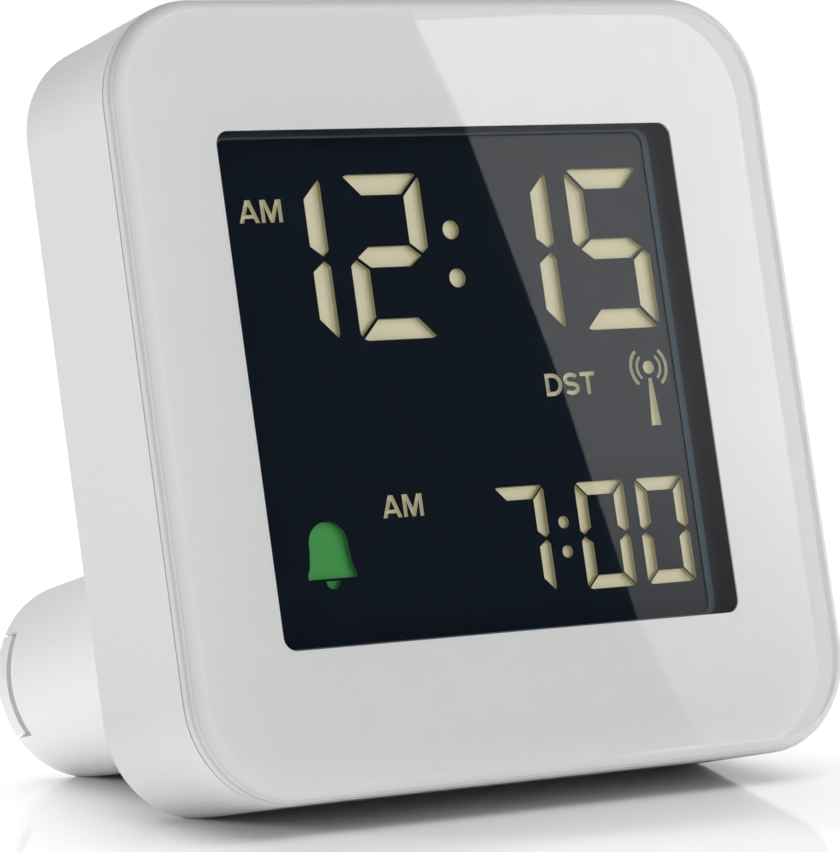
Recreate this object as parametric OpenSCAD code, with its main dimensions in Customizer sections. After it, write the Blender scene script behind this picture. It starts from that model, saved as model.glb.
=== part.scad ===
// Square alarm clock that leans back on a pill-shaped battery barrel.
// Every piece is drawn face on: X to the right, Y up the face, Z back from the front of the lens.
// stand() then leans the clock back and sets it on the floor, Z = 0, millimetres throughout.

/* [Case] */
// Width and height of the square face
face_size = 75; // [72:0.5:84]
// Radius of the face's corners
face_corner_r = 10; // [9:0.25:12]
// Depth from the front of the lens to the rear edge of the case
case_depth = 17.5; // [17.25:0.25:21]
// How far each side of the case draws in towards the rear
case_taper = 0.5; // [0.2:0.1:0.8]
// Thickness of the case's side walls at the rear edge
case_wall = 2; // [1.8:0.1:2.4]
// Thickness of the case's front wall, behind the mask
front_wall = 1.5; // [1.2:0.1:2]
// Width of the case's rear rim round the rear cover
rim_wall = 1.2; // [1:0.1:1.5]
// Angle that the clock leans back
lean = 14.15; // [12:0.05:16.5]
// Depth that the floor trims off the two edges the clock stands on
floor_trim = 0.28; // [0.2:0.02:0.4]

/* [Front] */
// Thickness of the clear lens
lens_t = 2.05; // [1.8:0.05:2.6]
// Radius of the lens's front edge
lens_edge_r = 1.5; // [0.8:0.1:1.7]
// Thickness of the printed mask
mask_t = 0.2; // [0.15:0.05:0.4]
// Step of the mask inside the edge of the lens
mask_inset = 0.4; // [0.2:0.1:0.8]
// White border beside the window
bezel_side = 11.25; // [11:0.05:14]
// White border above the window
bezel_top = 12.35; // [11.5:0.05:15]
// White border below the window
bezel_bottom = 13.95; // [13:0.05:17]
// Radius of the window's corners
window_corner_r = 1.35; // [0.5:0.05:2.5]

/* [Display] */
// Depth of the display glass behind the mask
lcd_setback = 2.3; // [2.2:0.1:3]
// Width of display glass hidden behind each window edge
lcd_overlap = 1.8; // [1.5:0.1:2.4]
// Thickness of the display glass
lcd_t = 1.6; // [1.2:0.1:2]
// Thickness of the reflector sheet
reflector_t = 0.3; // [0.2:0.05:0.5]
// Wall of the black display frame
frame_wall = 1; // [0.8:0.1:1.2]
// Thickness of the frame's collar in the case opening
collar_wall = 1.2; // [0.8:0.1:1.4]
// Thickness of the contact strip between glass and board
strip_w = 2; // [1.5:0.1:2.5]

/* [Battery barrel] */
// Length of the barrel behind the case
barrel_length = 26; // [25:0.1:30]
// Radius of the barrel's round ends at the rear rim
barrel_rim_r = 9.65; // [9.5:0.05:10.5]
// Draft angle of the barrel's outside
barrel_draft = 1.9; // [1:0.1:4]
// Wall of the barrel at its rear rim
barrel_wall = 1.35; // [1.2:0.05:1.8]
// Strip of flat cover left beside the barrel
barrel_margin = 1.85; // [0.5:0.05:4]
// Thickness of the battery door
door_t = 1.8; // [1.4:0.1:1.9]
// Half angle of the fingernail notch in the barrel's left end
notch_half_angle = 32; // [20:1:45]
// Depth of the fingernail notch from the rim
notch_depth = 2.8; // [2.3:0.05:3.2]
// Thickness of the door's tab in the notch
tab_t = 1.75; // [1.2:0.05:2]
// Diameter of a battery cell
cell_d = 10.5; // [10:0.1:10.6]
// Length of a battery cell, end to end
cell_length = 44.5; // [44:0.1:46]
// Length of a contact spring with the cell in place
spring_length = 3.4; // [2.5:0.1:4]

/* [Rear cover and controls] */
// Thickness of the rear cover
cover_t = 1.8; // [1.6:0.1:2.2]
// Diameter of a setting button
button_d = 7.2; // [6:0.1:8]
// Distance of the outer buttons from the cover's side edges
button_margin = 11.65; // [10.65:0.1:13.65]
// Height of the row of buttons below the board's top edge
button_drop = 11; // [10.5:0.25:12]
// How far the buttons stand out of the cover
button_proud = 0.9; // [0.6:0.1:1.5]
// Travel of a setting button
button_travel = 0.5; // [0.3:0.05:0.6]
// Distance from the row of buttons down to buzzer and alarm knob
row_spacing = 14; // [13.5:0.1:15]
// Distance of buzzer and alarm knob from the cover's side edges
second_row_margin = 20.65; // [18.65:0.25:21.65]
// Travel of the alarm knob between on and off
knob_travel = 3; // [2:0.25:4]
// Diameter of a sound hole
sound_hole_d = 1.4; // [1:0.1:2]
// Length of the snooze bar
snooze_length = 40; // [30:0.5:44]
// Width of the snooze bar
snooze_w = 6; // [5:0.1:6.4]
// Distance of the snooze bar's middle from the rear edge of the case
snooze_setback = 6.5; // [6.1:0.1:7]
// How far the snooze bar stands out of the case
snooze_proud = 0.7; // [0.5:0.05:1]
// Travel of the snooze bar
snooze_travel = 0.6; // [0.4:0.05:0.8]

/* [Inside] */
// Thickness of the circuit board
board_t = 1.6; // [1:0.1:1.6]
// Room between the circuit board and the rear cover
board_room = 5.15; // [5:0.05:6]
// Height of a push switch with its plunger
tact_h = 3; // [2.5:0.1:3.2]
// Radius of the case's screw bosses
boss_r = 2.3; // [2:0.05:2.6]
// Radius of a case screw's thread
case_screw_r = 1; // [0.8:0.05:1.2]
// Radius of the posts under the board
post_r = 1.8; // [1.6:0.05:2]
// Radius of a board screw's thread
board_screw_r = 0.8; // [0.6:0.05:0.9]
// Diameter of the buzzer
buzzer_d = 16; // [14:0.25:16.5]
// Height of the buzzer
buzzer_h = 3.2; // [2.6:0.1:3.6]
// Diameter of the ferrite rod
ferrite_d = 5; // [4:0.1:5.4]
// Length of the ferrite rod
ferrite_length = 54; // [48:0.5:54]
// Thickness of the winding on the ferrite rod
winding_t = 0.7; // [0.4:0.05:0.9]

/* [Fits] */
// Clearance between pieces that are assembled and stay put
seat_gap = 0.05; // [0.03:0.01:0.08]
// Clearance between a moving piece and what guides it
slide_gap = 0.15; // [0.1:0.01:0.2]

/* [Hidden] */
$fn = 96;

// Case outline and cavity
face_half = face_size / 2;
case_front = lens_t + mask_t;
wall_back = case_front + front_wall;
rear_half = face_half - case_taper;
cavity_half = rear_half - case_wall;
cavity_r = face_corner_r - case_taper - case_wall;
rebate_half = rear_half - rim_wall;
cover_half = rebate_half - slide_gap;
cover_front = case_depth - cover_t;

// Window and display frame
window_w = face_size - 2 * bezel_side;
window_h = face_size - bezel_top - bezel_bottom;
window_y = (bezel_bottom - bezel_top) / 2;
collar_step = 0.3;
collar_w = window_w + 2 * collar_step;
collar_h = window_h + 2 * collar_step;
collar_r = window_corner_r + collar_step;
collar_lip = 0.6;
lcd_w = window_w + 2 * lcd_overlap;
lcd_h = window_h + 2 * lcd_overlap;
lcd_front = case_front + lcd_setback;
lcd_back = lcd_front + lcd_t;
pocket_w = lcd_w + 2 * slide_gap;
pocket_h = lcd_h + 2 * slide_gap;
frame_w = pocket_w + 2 * frame_wall;
frame_h = pocket_h + 2 * frame_wall;
reflector_front = lcd_back + seat_gap;
guide_front = reflector_front + reflector_t + seat_gap;
board_back = cover_front - board_room;
board_front = board_back - board_t;
guide_board_gap = 0.4;
guide_back = board_front - guide_board_gap;

// Barrel: its rim's lowest line and the case's rear bottom edge lie on the same floor
barrel_base_r = barrel_rim_r + barrel_length * tan(barrel_draft);
barrel_span = cover_half - barrel_margin - barrel_base_r;
barrel_y = barrel_rim_r - rear_half + barrel_length * tan(lean);
barrel_end = case_depth + barrel_length;
barrel_bore_r = barrel_rim_r - barrel_wall;
door_front = barrel_end - door_t;
lip_t = 1;
lip_step = 0.3;
lip_reach = 0.8;
lip_side_angle = 6;
lip_front = barrel_end - notch_depth - lip_reach;

// Place of the clock on the floor, with its box centred on the origin
floor_level = -rear_half * cos(lean) - case_depth * sin(lean) + floor_trim;
front_reach = lens_edge_r * cos(lean) - (face_half - lens_edge_r) * sin(lean) - lens_edge_r;
rear_reach = barrel_end * cos(lean) + (barrel_y + barrel_rim_r) * sin(lean);

// Bosses, posts and board
boss_bite = 0.4;
boss_x = cavity_half - boss_r + boss_bite;
boss_top_drop = 13.5;
boss_barrel_gap = 5.4;
boss_top_y = face_half - boss_top_drop;
boss_low_y = barrel_y + barrel_base_r + boss_barrel_gap;
boss_places = [for (x = [-boss_x, boss_x], y = [boss_low_y, boss_top_y]) [x, y]];
post_gap = 0.3;
post_drop = 14;
post_x = frame_w / 2 + post_gap + post_r;
post_places = [
    for (x = [-post_x, post_x], y = [boss_low_y - post_drop, (boss_low_y + boss_top_y) / 2]) [x, y]
];
board_margin_x = 1.6;
board_margin_top = 7;
board_margin_low = 9;
board_half_w = cavity_half - board_margin_x;
board_top = cavity_half - board_margin_top;
board_low = board_margin_low - cavity_half;
board_corner_r = 1.5;

// Buttons and push switches
button_y = board_top - button_drop;
flange_t = 0.9;
flange_step = 0.7;
flange_back = cover_front - slide_gap;
tact_w = 6;
tact_cap_r = 1.6;
tact_top = board_back + tact_h;
press_gap = 0.1;
button_edge_r = 0.4;
button_count = 5;
button_pitch = 2 * (cover_half - button_margin) / (button_count - 1);
second_row_x = cover_half - second_row_margin;
second_row_y = button_y - row_spacing;
function button_x(i) = (i - (button_count - 1) / 2) * button_pitch;

// Alarm knob and its slide switch
knob_grip_w = 4.6;
knob_grip_h = 2.6;
knob_flange_w = knob_grip_w + 2 * knob_travel + 0.6;
knob_flange_h = 5.2;
knob_proud = 0.8;
lever_w = 1.6;
lever_h = 1.5;
lever_root = 1.4;
lever_tip = 0.5;
switch_end = 3;
switch_w = knob_travel + 2 * switch_end;
switch_h = 3.8;
switch_t = 3;
// The knob rests at the on end of its travel
knob_x = second_row_x - knob_travel / 2;

// Snooze bar and its switch
snooze_r = snooze_w / 2;
snooze_depth = case_depth - snooze_setback;
snooze_span = snooze_length / 2 - snooze_r;
snooze_edge_r = 0.5;
case_top_at_bar = face_half - case_taper * (snooze_depth - case_front) / (case_depth - case_front);
snooze_top = case_top_at_bar + snooze_proud;
snooze_flange_top = cavity_half - slide_gap;
snooze_flange_t = 0.9;
snooze_stem_w = 4;
snooze_stem_t = 2;
snooze_body_w = 7.4;
snooze_body_t = 3.6;
snooze_body_h = 4;
snooze_body_drop = 0.2;
snooze_cap_h = 1.1;
snooze_cap_w = 2.6;
snooze_cap_t = 1.4;
snooze_switch_z = board_back + snooze_body_t / 2;
snooze_switch_top = board_top - snooze_body_drop + snooze_cap_h;

// Battery cells lie along X, one behind the other
cell_r = cell_d / 2;
cell_gap = (barrel_length - door_t - 2 * cell_d) / 3;
cell_nub_r = 1.9;
cell_nub_h = 1.2;
cell_depths = [
    case_depth + cell_gap + cell_r,
    case_depth + 2 * cell_gap + 3 * cell_r
];
plate_t = 0.4;
plate_half = cell_r - 0.75;
contact_half = (cell_length + spring_length) / 2 + seat_gap;
partition_x = contact_half + plate_t + seat_gap;
partition_t = 1.2;
partition_end = lip_front - slide_gap;
tail_w = 1.8;
tail_reach = 1.75;
tail_front = cover_front - tail_reach;
tail_gap = 0.4;
tail_places = [barrel_y + 2, barrel_y - plate_half - tail_gap - tail_w / 2];
lead_r = 0.5;

// Antenna along the bottom of the case
ferrite_r = ferrite_d / 2;
coil_r = ferrite_r + winding_t;
coil_length = 18;
ferrite_floor_gap = 4;
ferrite_y = ferrite_floor_gap - cavity_half;
ferrite_z = board_back;
clip_w = 4;
clip_end_gap = 1;
clip_x = cavity_half - cavity_r - clip_end_gap - clip_w / 2;
clip_wall = 0.85;
clip_mouth = 0.8;
fine_wire_r = 0.25;
wire_lap = 2;

// Hooks that hold the rear cover's bottom edge
hook_w = 7;
hook_clip_gap = 1;
hook_x = clip_x - clip_w / 2 - hook_clip_gap - hook_w / 2;
hook_t = 1;
hook_reach = 2.2;
hook_lip = 0.6;
hook_lip_t = 1;

// Case screws and the sound holes over the buzzer
sound_ring_r = 3.2;
sound_holes = concat(
    [[0, 0]],
    [for (a = [0 : 60 : 300]) [sound_ring_r * cos(a), sound_ring_r * sin(a)]]
);
screw_head_r = 1.9 * case_screw_r;
screw_head_h = screw_head_r - case_screw_r;
screw_length = 8;

// Backlight and contact strip, inside the display frame's pocket
led_w = 1.3;
led_h = 3;
led_spread = 11;
strip_inset = 0.4;
strip_low = window_y - lcd_h / 2 + strip_inset;
guide_left = -lcd_w / 2 + led_w + 3 * slide_gap;
guide_right = lcd_w / 2 - slide_gap;
guide_low = strip_low + strip_w + 2 * slide_gap;
guide_top = window_y + lcd_h / 2 - slide_gap;

// Parts on the rear of the board
chip_drop = 14;
chip_place = [4, second_row_y - chip_drop];
chip_w = 10;
chip_t = 1.4;
receiver_drop = 19;
receiver_place = [-14, second_row_y - receiver_drop];
receiver_w = 5;
crystal_drop = 13;
crystal_place = [-8, second_row_y - crystal_drop];
crystal_r = 1;
crystal_length = 6;

// Buzzer on the inside of the rear cover
buzzer_wall = 0.9;
buzzer_ledge = 0.7;
buzzer_floor = 0.7;
disc_recess = 0.9;
disc_t = 0.4;
buzzer_back = cover_front - seat_gap;
buzzer_front = buzzer_back - buzzer_h;
disc_front = buzzer_front + disc_recess - disc_t;
disc_r = buzzer_d / 2 - buzzer_wall;

// Leans the clock back and stands it on the floor
module stand() {
    translate([0, -(front_reach + rear_reach) / 2, -floor_level])
        rotate([-lean, 0, 0])
            rotate([90, 0, 0])
                mirror([0, 0, 1])
                    children();
}

// Everything below the floor, to trim the standing edges flat
module below_floor() {
    translate([-face_size, -face_size, -face_size])
        cube([2 * face_size, 2 * face_size, face_size]);
}

module rounded_rect(w, h, r) {
    square([w - 2 * r, h], center = true);
    square([w, h - 2 * r], center = true);
    for (x = [-1, 1], y = [-1, 1])
        translate([x * (w / 2 - r), y * (h / 2 - r)])
            circle(r);
}

// Plate of a flat outline between two depths
module plate(from, to) {
    translate([0, 0, from])
        linear_extrude(to - from)
            children();
}

// Box between two corners
module block(a, b) {
    translate(a)
        cube(b - a);
}

// Square block with round corners from the edge profile of its corners: radius by depth
module corner_swept(half, r) {
    run = half - r;
    for (a = [0, 90, 180, 270])
        rotate(a) {
            translate([run, run, 0])
                rotate_extrude(angle = 90)
                    children();
            translate([run, run, 0])
                rotate([90, 0, 0])
                    linear_extrude(2 * run)
                        children();
        }
}

// Pill that lies along X, from the profile of its round ends: radius by depth
module pill(span) {
    for (a = [0, 180])
        rotate(a)
            translate([span, 0, 0])
                rotate(-90)
                    rotate_extrude(angle = 180)
                        children();
    translate([-span, 0, 0])
        rotate([90, 0, 90])
            linear_extrude(2 * span) {
                children();
                mirror([1, 0])
                    children();
            }
}

// Profile of a solid edge, rounded at its lower or upper outside corner
module rounded_edge(r, h, edge, upper = false) {
    y = upper ? h - edge : edge;
    square([r - edge, h]);
    translate([0, upper ? 0 : edge])
        square([r, h - edge]);
    intersection() {
        translate([r - edge, y])
            circle(edge);
        square([r, h]);
    }
}

module front_lens() {
    color("white", 0.3)
        stand() {
            corner_swept(face_half, face_corner_r)
                rounded_edge(face_corner_r, lens_t, lens_edge_r);
            plate(0, lens_t)
                square(face_size - 2 * face_corner_r, center = true);
        }
}

module face_mask() {
    side = face_size - 2 * mask_inset;
    color("whitesmoke")
        stand()
            plate(lens_t, case_front)
                difference() {
                    rounded_rect(side, side, face_corner_r - mask_inset);
                    translate([0, window_y])
                        rounded_rect(window_w, window_h, window_corner_r);
                }
}

// Outside of the case, drawn in towards the rear
module case_body() {
    depth = case_depth - case_front;
    run = face_half - face_corner_r;
    translate([0, 0, case_front]) {
        corner_swept(face_half, face_corner_r)
            polygon([
                [0, 0], [face_corner_r, 0], [face_corner_r - case_taper, depth], [0, depth]
            ]);
        plate(0, depth)
            square(2 * run, center = true);
    }
}

module case_shell() {
    hook_gap = 2 * slide_gap;
    color("gainsboro")
        difference() {
            stand()
                difference() {
                    union() {
                        difference() {
                            case_body();
                            plate(wall_back, case_depth + 1)
                                rounded_rect(2 * cavity_half, 2 * cavity_half, cavity_r);
                            plate(cover_front - seat_gap, case_depth + 1)
                                rounded_rect(2 * rebate_half, 2 * rebate_half, cavity_r + case_wall - rim_wall);
                        }
                        for (p = boss_places)
                            translate([p[0], p[1], wall_back - seat_gap])
                                cylinder(h = cover_front - wall_back, r = boss_r);
                        for (p = post_places)
                            translate([p[0], p[1], wall_back - seat_gap])
                                cylinder(h = board_front - wall_back, r = post_r);
                    }
                    plate(case_front - 1, wall_back + 1)
                        translate([0, window_y])
                            rounded_rect(
                                collar_w + 2 * (collar_wall + slide_gap),
                                collar_h + 2 * (collar_wall + slide_gap),
                                collar_r + collar_wall + slide_gap
                            );
                    for (p = boss_places)
                        translate([p[0], p[1], wall_back + 1])
                            cylinder(h = case_depth, r = case_screw_r + seat_gap);
                    for (p = post_places)
                        translate([p[0], p[1], wall_back - seat_gap])
                            cylinder(h = case_depth, r = board_screw_r + seat_gap);
                    translate([0, cavity_half - 1, snooze_depth])
                        rotate([-90, 0, 0])
                            pill(snooze_span)
                                square([snooze_r + slide_gap, case_wall + case_taper + 2]);
                    for (x = [-hook_x, hook_x])
                        block(
                            [x - hook_w / 2 - hook_gap, -cavity_half - hook_lip - slide_gap,
                             cover_front - hook_reach - slide_gap],
                            [x + hook_w / 2 + hook_gap, 1 - cavity_half,
                             cover_front - hook_reach + hook_lip_t + slide_gap]
                        );
                }
            below_floor();
        }
}

// Outside and bore of the barrel, and the notch in its left end
module barrel_outside() {
    translate([0, barrel_y, cover_front + seat_gap])
        pill(barrel_span)
            polygon([
                [0, 0],
                [barrel_base_r, 0],
                [barrel_base_r, cover_t - seat_gap],
                [barrel_rim_r, cover_t - seat_gap + barrel_length],
                [0, cover_t - seat_gap + barrel_length]
            ]);
}

module barrel_bore() {
    translate([0, barrel_y, case_depth])
        pill(barrel_span)
            square([barrel_bore_r, barrel_length + 1]);
}

// Ring sector at the barrel's left end
module end_sector(r1, r2, half_angle, from, to) {
    translate([-barrel_span, barrel_y, from])
        rotate(180 - half_angle)
            rotate_extrude(angle = 2 * half_angle)
                translate([r1, 0])
                    square([r2 - r1, to - from]);
}

module partitions() {
    for (s = [-1, 1])
        block(
            [min(s * partition_x, s * (partition_x + partition_t)),
             barrel_y - barrel_bore_r - barrel_wall / 4, case_depth - 1],
            [max(s * partition_x, s * (partition_x + partition_t)),
             barrel_y + barrel_bore_r + barrel_wall / 4, partition_end]
        );
}

module rear_cover() {
    grip_slot_w = knob_grip_w + knob_travel + 2 * slide_gap;
    screw_hole_r = case_screw_r + 2 * seat_gap;
    color("gainsboro")
        difference() {
            stand()
                difference() {
                    union() {
                        plate(cover_front, case_depth)
                            rounded_rect(2 * cover_half, 2 * cover_half, cavity_r + case_wall - rim_wall);
                        difference() {
                            barrel_outside();
                            barrel_bore();
                        }
                        partitions();
                        for (x = [-hook_x, hook_x])
                            cover_hook(x);
                    }
                    end_sector(
                        barrel_bore_r - barrel_wall, barrel_base_r, notch_half_angle,
                        barrel_end - notch_depth, barrel_end + 1
                    );
                    for (p = boss_places) {
                        translate([p[0], p[1], cover_front - 1])
                            cylinder(h = cover_t + 2, r = screw_hole_r);
                        translate([p[0], p[1], case_depth - screw_head_h])
                            cylinder(
                                h = screw_head_h + seat_gap,
                                r1 = screw_hole_r,
                                r2 = screw_head_r + 2 * seat_gap
                            );
                    }
                    for (i = [0 : button_count - 1])
                        translate([button_x(i), button_y, cover_front - 1])
                            cylinder(h = cover_t + 2, r = button_d / 2 + slide_gap);
                    block(
                        [second_row_x - grip_slot_w / 2,
                         second_row_y - knob_grip_h / 2 - slide_gap, cover_front - 1],
                        [second_row_x + grip_slot_w / 2,
                         second_row_y + knob_grip_h / 2 + slide_gap, case_depth + 1]
                    );
                    for (p = sound_holes)
                        translate([p[0] - second_row_x, p[1] + second_row_y, cover_front - 1])
                            cylinder(h = cover_t + 2, r = sound_hole_d / 2);
                    for (y = tail_places)
                        block(
                            [contact_half - slide_gap, y - tail_w / 2 - slide_gap, cover_front - 1],
                            [contact_half + plate_t + slide_gap, y + tail_w / 2 + slide_gap, case_depth + 1]
                        );
                }
            below_floor();
        }
}

// Tongue with a lip that catches in the case's bottom wall
module cover_hook(x) {
    root = slide_gap - cavity_half;
    block(
        [x - hook_w / 2, root, cover_front - hook_reach],
        [x + hook_w / 2, root + hook_t, cover_front + cover_t / 2]
    );
    block(
        [x - hook_w / 2, -cavity_half - hook_lip, cover_front - hook_reach],
        [x + hook_w / 2, root + hook_t, cover_front - hook_reach + hook_lip_t]
    );
}

// Plate in the barrel's mouth, with a tab in the notch and a lip that closes the view behind it
module battery_door() {
    slit_angle = asin(2 * slide_gap / barrel_rim_r);
    tab_root = barrel_bore_r - barrel_wall / 2;
    door_r = barrel_bore_r - slide_gap;
    color("gainsboro")
        difference() {
            stand() {
                translate([0, barrel_y, door_front])
                    pill(barrel_span)
                        square([door_r, door_t]);
                end_sector(
                    tab_root, barrel_rim_r, notch_half_angle - slit_angle, barrel_end - tab_t, barrel_end
                );
                end_sector(
                    door_r - lip_step - lip_t, door_r - lip_step, notch_half_angle + lip_side_angle,
                    lip_front, door_front + door_t / 2
                );
            }
            below_floor();
        }
}

module cross_recess(r, depth) {
    for (a = [0, 90])
        rotate(a)
            block([-r, -r / 5, -depth], [r, r / 5, 1]);
}

module case_screws() {
    color("silver")
        stand()
            for (p = boss_places)
                translate([p[0], p[1], case_depth])
                    difference() {
                        union() {
                            translate([0, 0, -screw_head_h])
                                cylinder(h = screw_head_h, r1 = case_screw_r, r2 = screw_head_r);
                            translate([0, 0, -screw_length])
                                cylinder(h = screw_length - screw_head_h, r = case_screw_r);
                        }
                        cross_recess(screw_head_r * 0.6, screw_head_h * 0.7);
                    }
}

module snooze_bar() {
    flange_half = (snooze_w + 2 * flange_step) / 2;
    stem_end = snooze_switch_top + snooze_travel + press_gap;
    color("whitesmoke")
        stand() {
            translate([0, snooze_flange_top, snooze_depth])
                rotate([-90, 0, 0])
                    pill(snooze_span)
                        rounded_edge(snooze_r, snooze_top - snooze_flange_top, snooze_edge_r, upper = true);
            block(
                [-snooze_length / 2 - flange_step,
                 snooze_flange_top - snooze_flange_t,
                 snooze_depth - flange_half],
                [snooze_length / 2 + flange_step, snooze_flange_top, snooze_depth + flange_half]
            );
            block(
                [-snooze_stem_w / 2, stem_end, snooze_switch_z - snooze_stem_t / 2],
                [snooze_stem_w / 2,
                 snooze_flange_top - snooze_flange_t / 2,
                 snooze_switch_z + snooze_stem_t / 2]
            );
        }
}

// Setting button: cap, flange behind the cover and pip over its switch
module setting_button(i) {
    pip_front = tact_top + button_travel + press_gap;
    color("lightgray")
        stand()
            translate([button_x(i), button_y, 0]) {
                translate([0, 0, flange_back - flange_t])
                    cylinder(h = flange_t, r = button_d / 2 + flange_step);
                translate([0, 0, flange_back - flange_t / 2])
                    rotate_extrude()
                        rounded_edge(
                            button_d / 2,
                            case_depth + button_proud - flange_back + flange_t / 2,
                            button_edge_r,
                            upper = true
                        );
                translate([0, 0, pip_front])
                    cylinder(h = flange_back - flange_t / 2 - pip_front, r = tact_cap_r);
            }
}

module minus_button() { setting_button(0); }
module plus_button() { setting_button(1); }
module wave_button() { setting_button(2); }
module time_button() { setting_button(3); }
module alarm_button() { setting_button(4); }

module alarm_knob() {
    color("lightgray")
        stand()
            translate([knob_x, second_row_y, 0])
                difference() {
                    union() {
                        block(
                            [-knob_flange_w / 2, -knob_flange_h / 2, flange_back - flange_t],
                            [knob_flange_w / 2, knob_flange_h / 2, flange_back]
                        );
                        block(
                            [-knob_grip_w / 2, -knob_grip_h / 2, flange_back - flange_t / 2],
                            [knob_grip_w / 2, knob_grip_h / 2, case_depth + knob_proud]
                        );
                    }
                    block(
                        [-lever_w / 2 - seat_gap, -lever_h / 2 - seat_gap, flange_back - flange_t - 1],
                        [lever_w / 2 + seat_gap,
                         lever_h / 2 + seat_gap,
                         flange_back - flange_t + lever_tip + seat_gap]
                    );
                }
}

module switch_lever() {
    color("black")
        stand()
            translate([knob_x, second_row_y, 0])
                block(
                    [-lever_w / 2, -lever_h / 2, board_back + switch_t - lever_root],
                    [lever_w / 2, lever_h / 2, flange_back - flange_t + lever_tip]
                );
}

module slide_switch() {
    lever_run = knob_travel + lever_w + 2 * slide_gap;
    color("dimgray")
        stand()
            translate([second_row_x, second_row_y, 0])
                difference() {
                    block(
                        [-switch_w / 2, -switch_h / 2, board_back],
                        [switch_w / 2, switch_h / 2, board_back + switch_t]
                    );
                    block(
                        [-lever_run / 2,
                         -lever_h / 2 - slide_gap,
                         board_back + switch_t - lever_root - slide_gap],
                        [lever_run / 2, lever_h / 2 + slide_gap, board_back + switch_t + 1]
                    );
                }
}

module lcd_frame() {
    color("#15181c")
        stand()
            translate([0, window_y, 0])
                difference() {
                    union() {
                        plate(case_front + seat_gap, lcd_front)
                            rounded_rect(
                                collar_w + 2 * collar_wall,
                                collar_h + 2 * collar_wall,
                                collar_r + collar_wall
                            );
                        plate(wall_back + seat_gap, board_front - seat_gap)
                            square([frame_w, frame_h], center = true);
                    }
                    plate(case_front - 1, lcd_front - seat_gap - collar_lip)
                        rounded_rect(collar_w, collar_h, collar_r);
                    plate(case_front - 1, board_front + 1)
                        rounded_rect(window_w, window_h, window_corner_r);
                    plate(lcd_front - seat_gap, board_front + 1)
                        square([pocket_w, pocket_h], center = true);
                }
}

module lcd_panel() {
    color("#10171f")
        stand()
            plate(lcd_front, lcd_back)
                translate([0, window_y])
                    square([lcd_w, lcd_h], center = true);
}

module lcd_reflector() {
    color("#d8d2b0")
        stand()
            block(
                [guide_left, guide_low, reflector_front],
                [guide_right, guide_top, reflector_front + reflector_t]
            );
}

module light_guide() {
    color("white", 0.6)
        stand()
            block([guide_left, guide_low, guide_front], [guide_right, guide_top, guide_back]);
}

module backlight_leds() {
    color("ivory")
        stand()
            for (s = [-1, 1])
                translate([slide_gap - lcd_w / 2, window_y + s * led_spread - led_h / 2, guide_front])
                    cube([led_w, led_h, board_front - guide_front]);
}

module zebra_strip() {
    strip_end = 1.5;
    color("pink")
        stand()
            block(
                [strip_end - lcd_w / 2, strip_low, lcd_back + seat_gap],
                [lcd_w / 2 - strip_end, strip_low + strip_w, board_front - seat_gap]
            );
}

module main_board() {
    boss_clear = boss_r + 2 * slide_gap;
    color("darkgreen")
        stand()
            plate(board_front, board_back)
                difference() {
                    translate([0, (board_top + board_low) / 2])
                        rounded_rect(2 * board_half_w, board_top - board_low, board_corner_r);
                    for (p = boss_places)
                        translate(p)
                            circle(boss_clear);
                    for (p = post_places)
                        translate(p)
                            circle(board_screw_r + slide_gap);
                }
}

module board_screws() {
    head_r = 2 * board_screw_r;
    head_h = 1.1;
    length = 4.5;
    color("silver")
        stand()
            for (p = post_places)
                translate([p[0], p[1], board_back + seat_gap])
                    difference() {
                        union() {
                            cylinder(h = head_h, r = head_r);
                            translate([0, 0, -length])
                                cylinder(h = length + head_h / 2, r = board_screw_r);
                        }
                        translate([0, 0, head_h])
                            cross_recess(head_r * 0.6, head_h * 0.5);
                    }
}

module clock_chip() {
    color("#202224")
        stand()
            translate([chip_place[0], chip_place[1], board_back])
                plate(0, chip_t)
                    square(chip_w, center = true);
}

module receiver_chip() {
    color("#202224")
        stand()
            translate([receiver_place[0], receiver_place[1], board_back])
                plate(0, chip_t)
                    square(receiver_w, center = true);
}

module quartz_crystal() {
    color("silver")
        stand()
            translate([crystal_place[0], crystal_place[1], board_back + crystal_r + seat_gap])
                rotate([90, 0, 0])
                    cylinder(h = crystal_length, r = crystal_r, center = true);
}

module tact_switches() {
    cap_h = 0.5;
    color("dimgray")
        stand()
            for (i = [0 : button_count - 1])
                translate([button_x(i), button_y, board_back]) {
                    plate(0, tact_h - cap_h)
                        square(tact_w, center = true);
                    cylinder(h = tact_h, r = tact_cap_r);
                }
}

module snooze_switch() {
    body_top = board_top - snooze_body_drop;
    color("dimgray")
        stand() {
            block(
                [-snooze_body_w / 2, body_top - snooze_body_h, board_back],
                [snooze_body_w / 2, body_top, board_back + snooze_body_t]
            );
            block(
                [-snooze_cap_w / 2, body_top - 1, snooze_switch_z - snooze_cap_t / 2],
                [snooze_cap_w / 2, snooze_switch_top, snooze_switch_z + snooze_cap_t / 2]
            );
        }
}

module buzzer_case() {
    color("black")
        stand()
            translate([-second_row_x, second_row_y, buzzer_front])
                difference() {
                    cylinder(h = buzzer_h, r = buzzer_d / 2);
                    translate([0, 0, -1])
                        cylinder(h = disc_recess + seat_gap + 1, r = disc_r + seat_gap);
                    translate([0, 0, -1])
                        cylinder(h = buzzer_h - buzzer_floor + 1, r = disc_r - buzzer_ledge);
                    translate([0, 0, -1])
                        cylinder(h = buzzer_h + 2, r = sound_hole_d);
                }
}

module piezo_disc() {
    color("goldenrod")
        stand()
            translate([-second_row_x, second_row_y, disc_front])
                cylinder(h = disc_t, r = disc_r);
}

module buzzer_leads() {
    color("red")
        stand()
            for (s = [-1, 1])
                translate([s * disc_r / 2 - second_row_x, second_row_y, board_back])
                    cylinder(h = disc_front - board_back - seat_gap, r = fine_wire_r);
}

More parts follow.
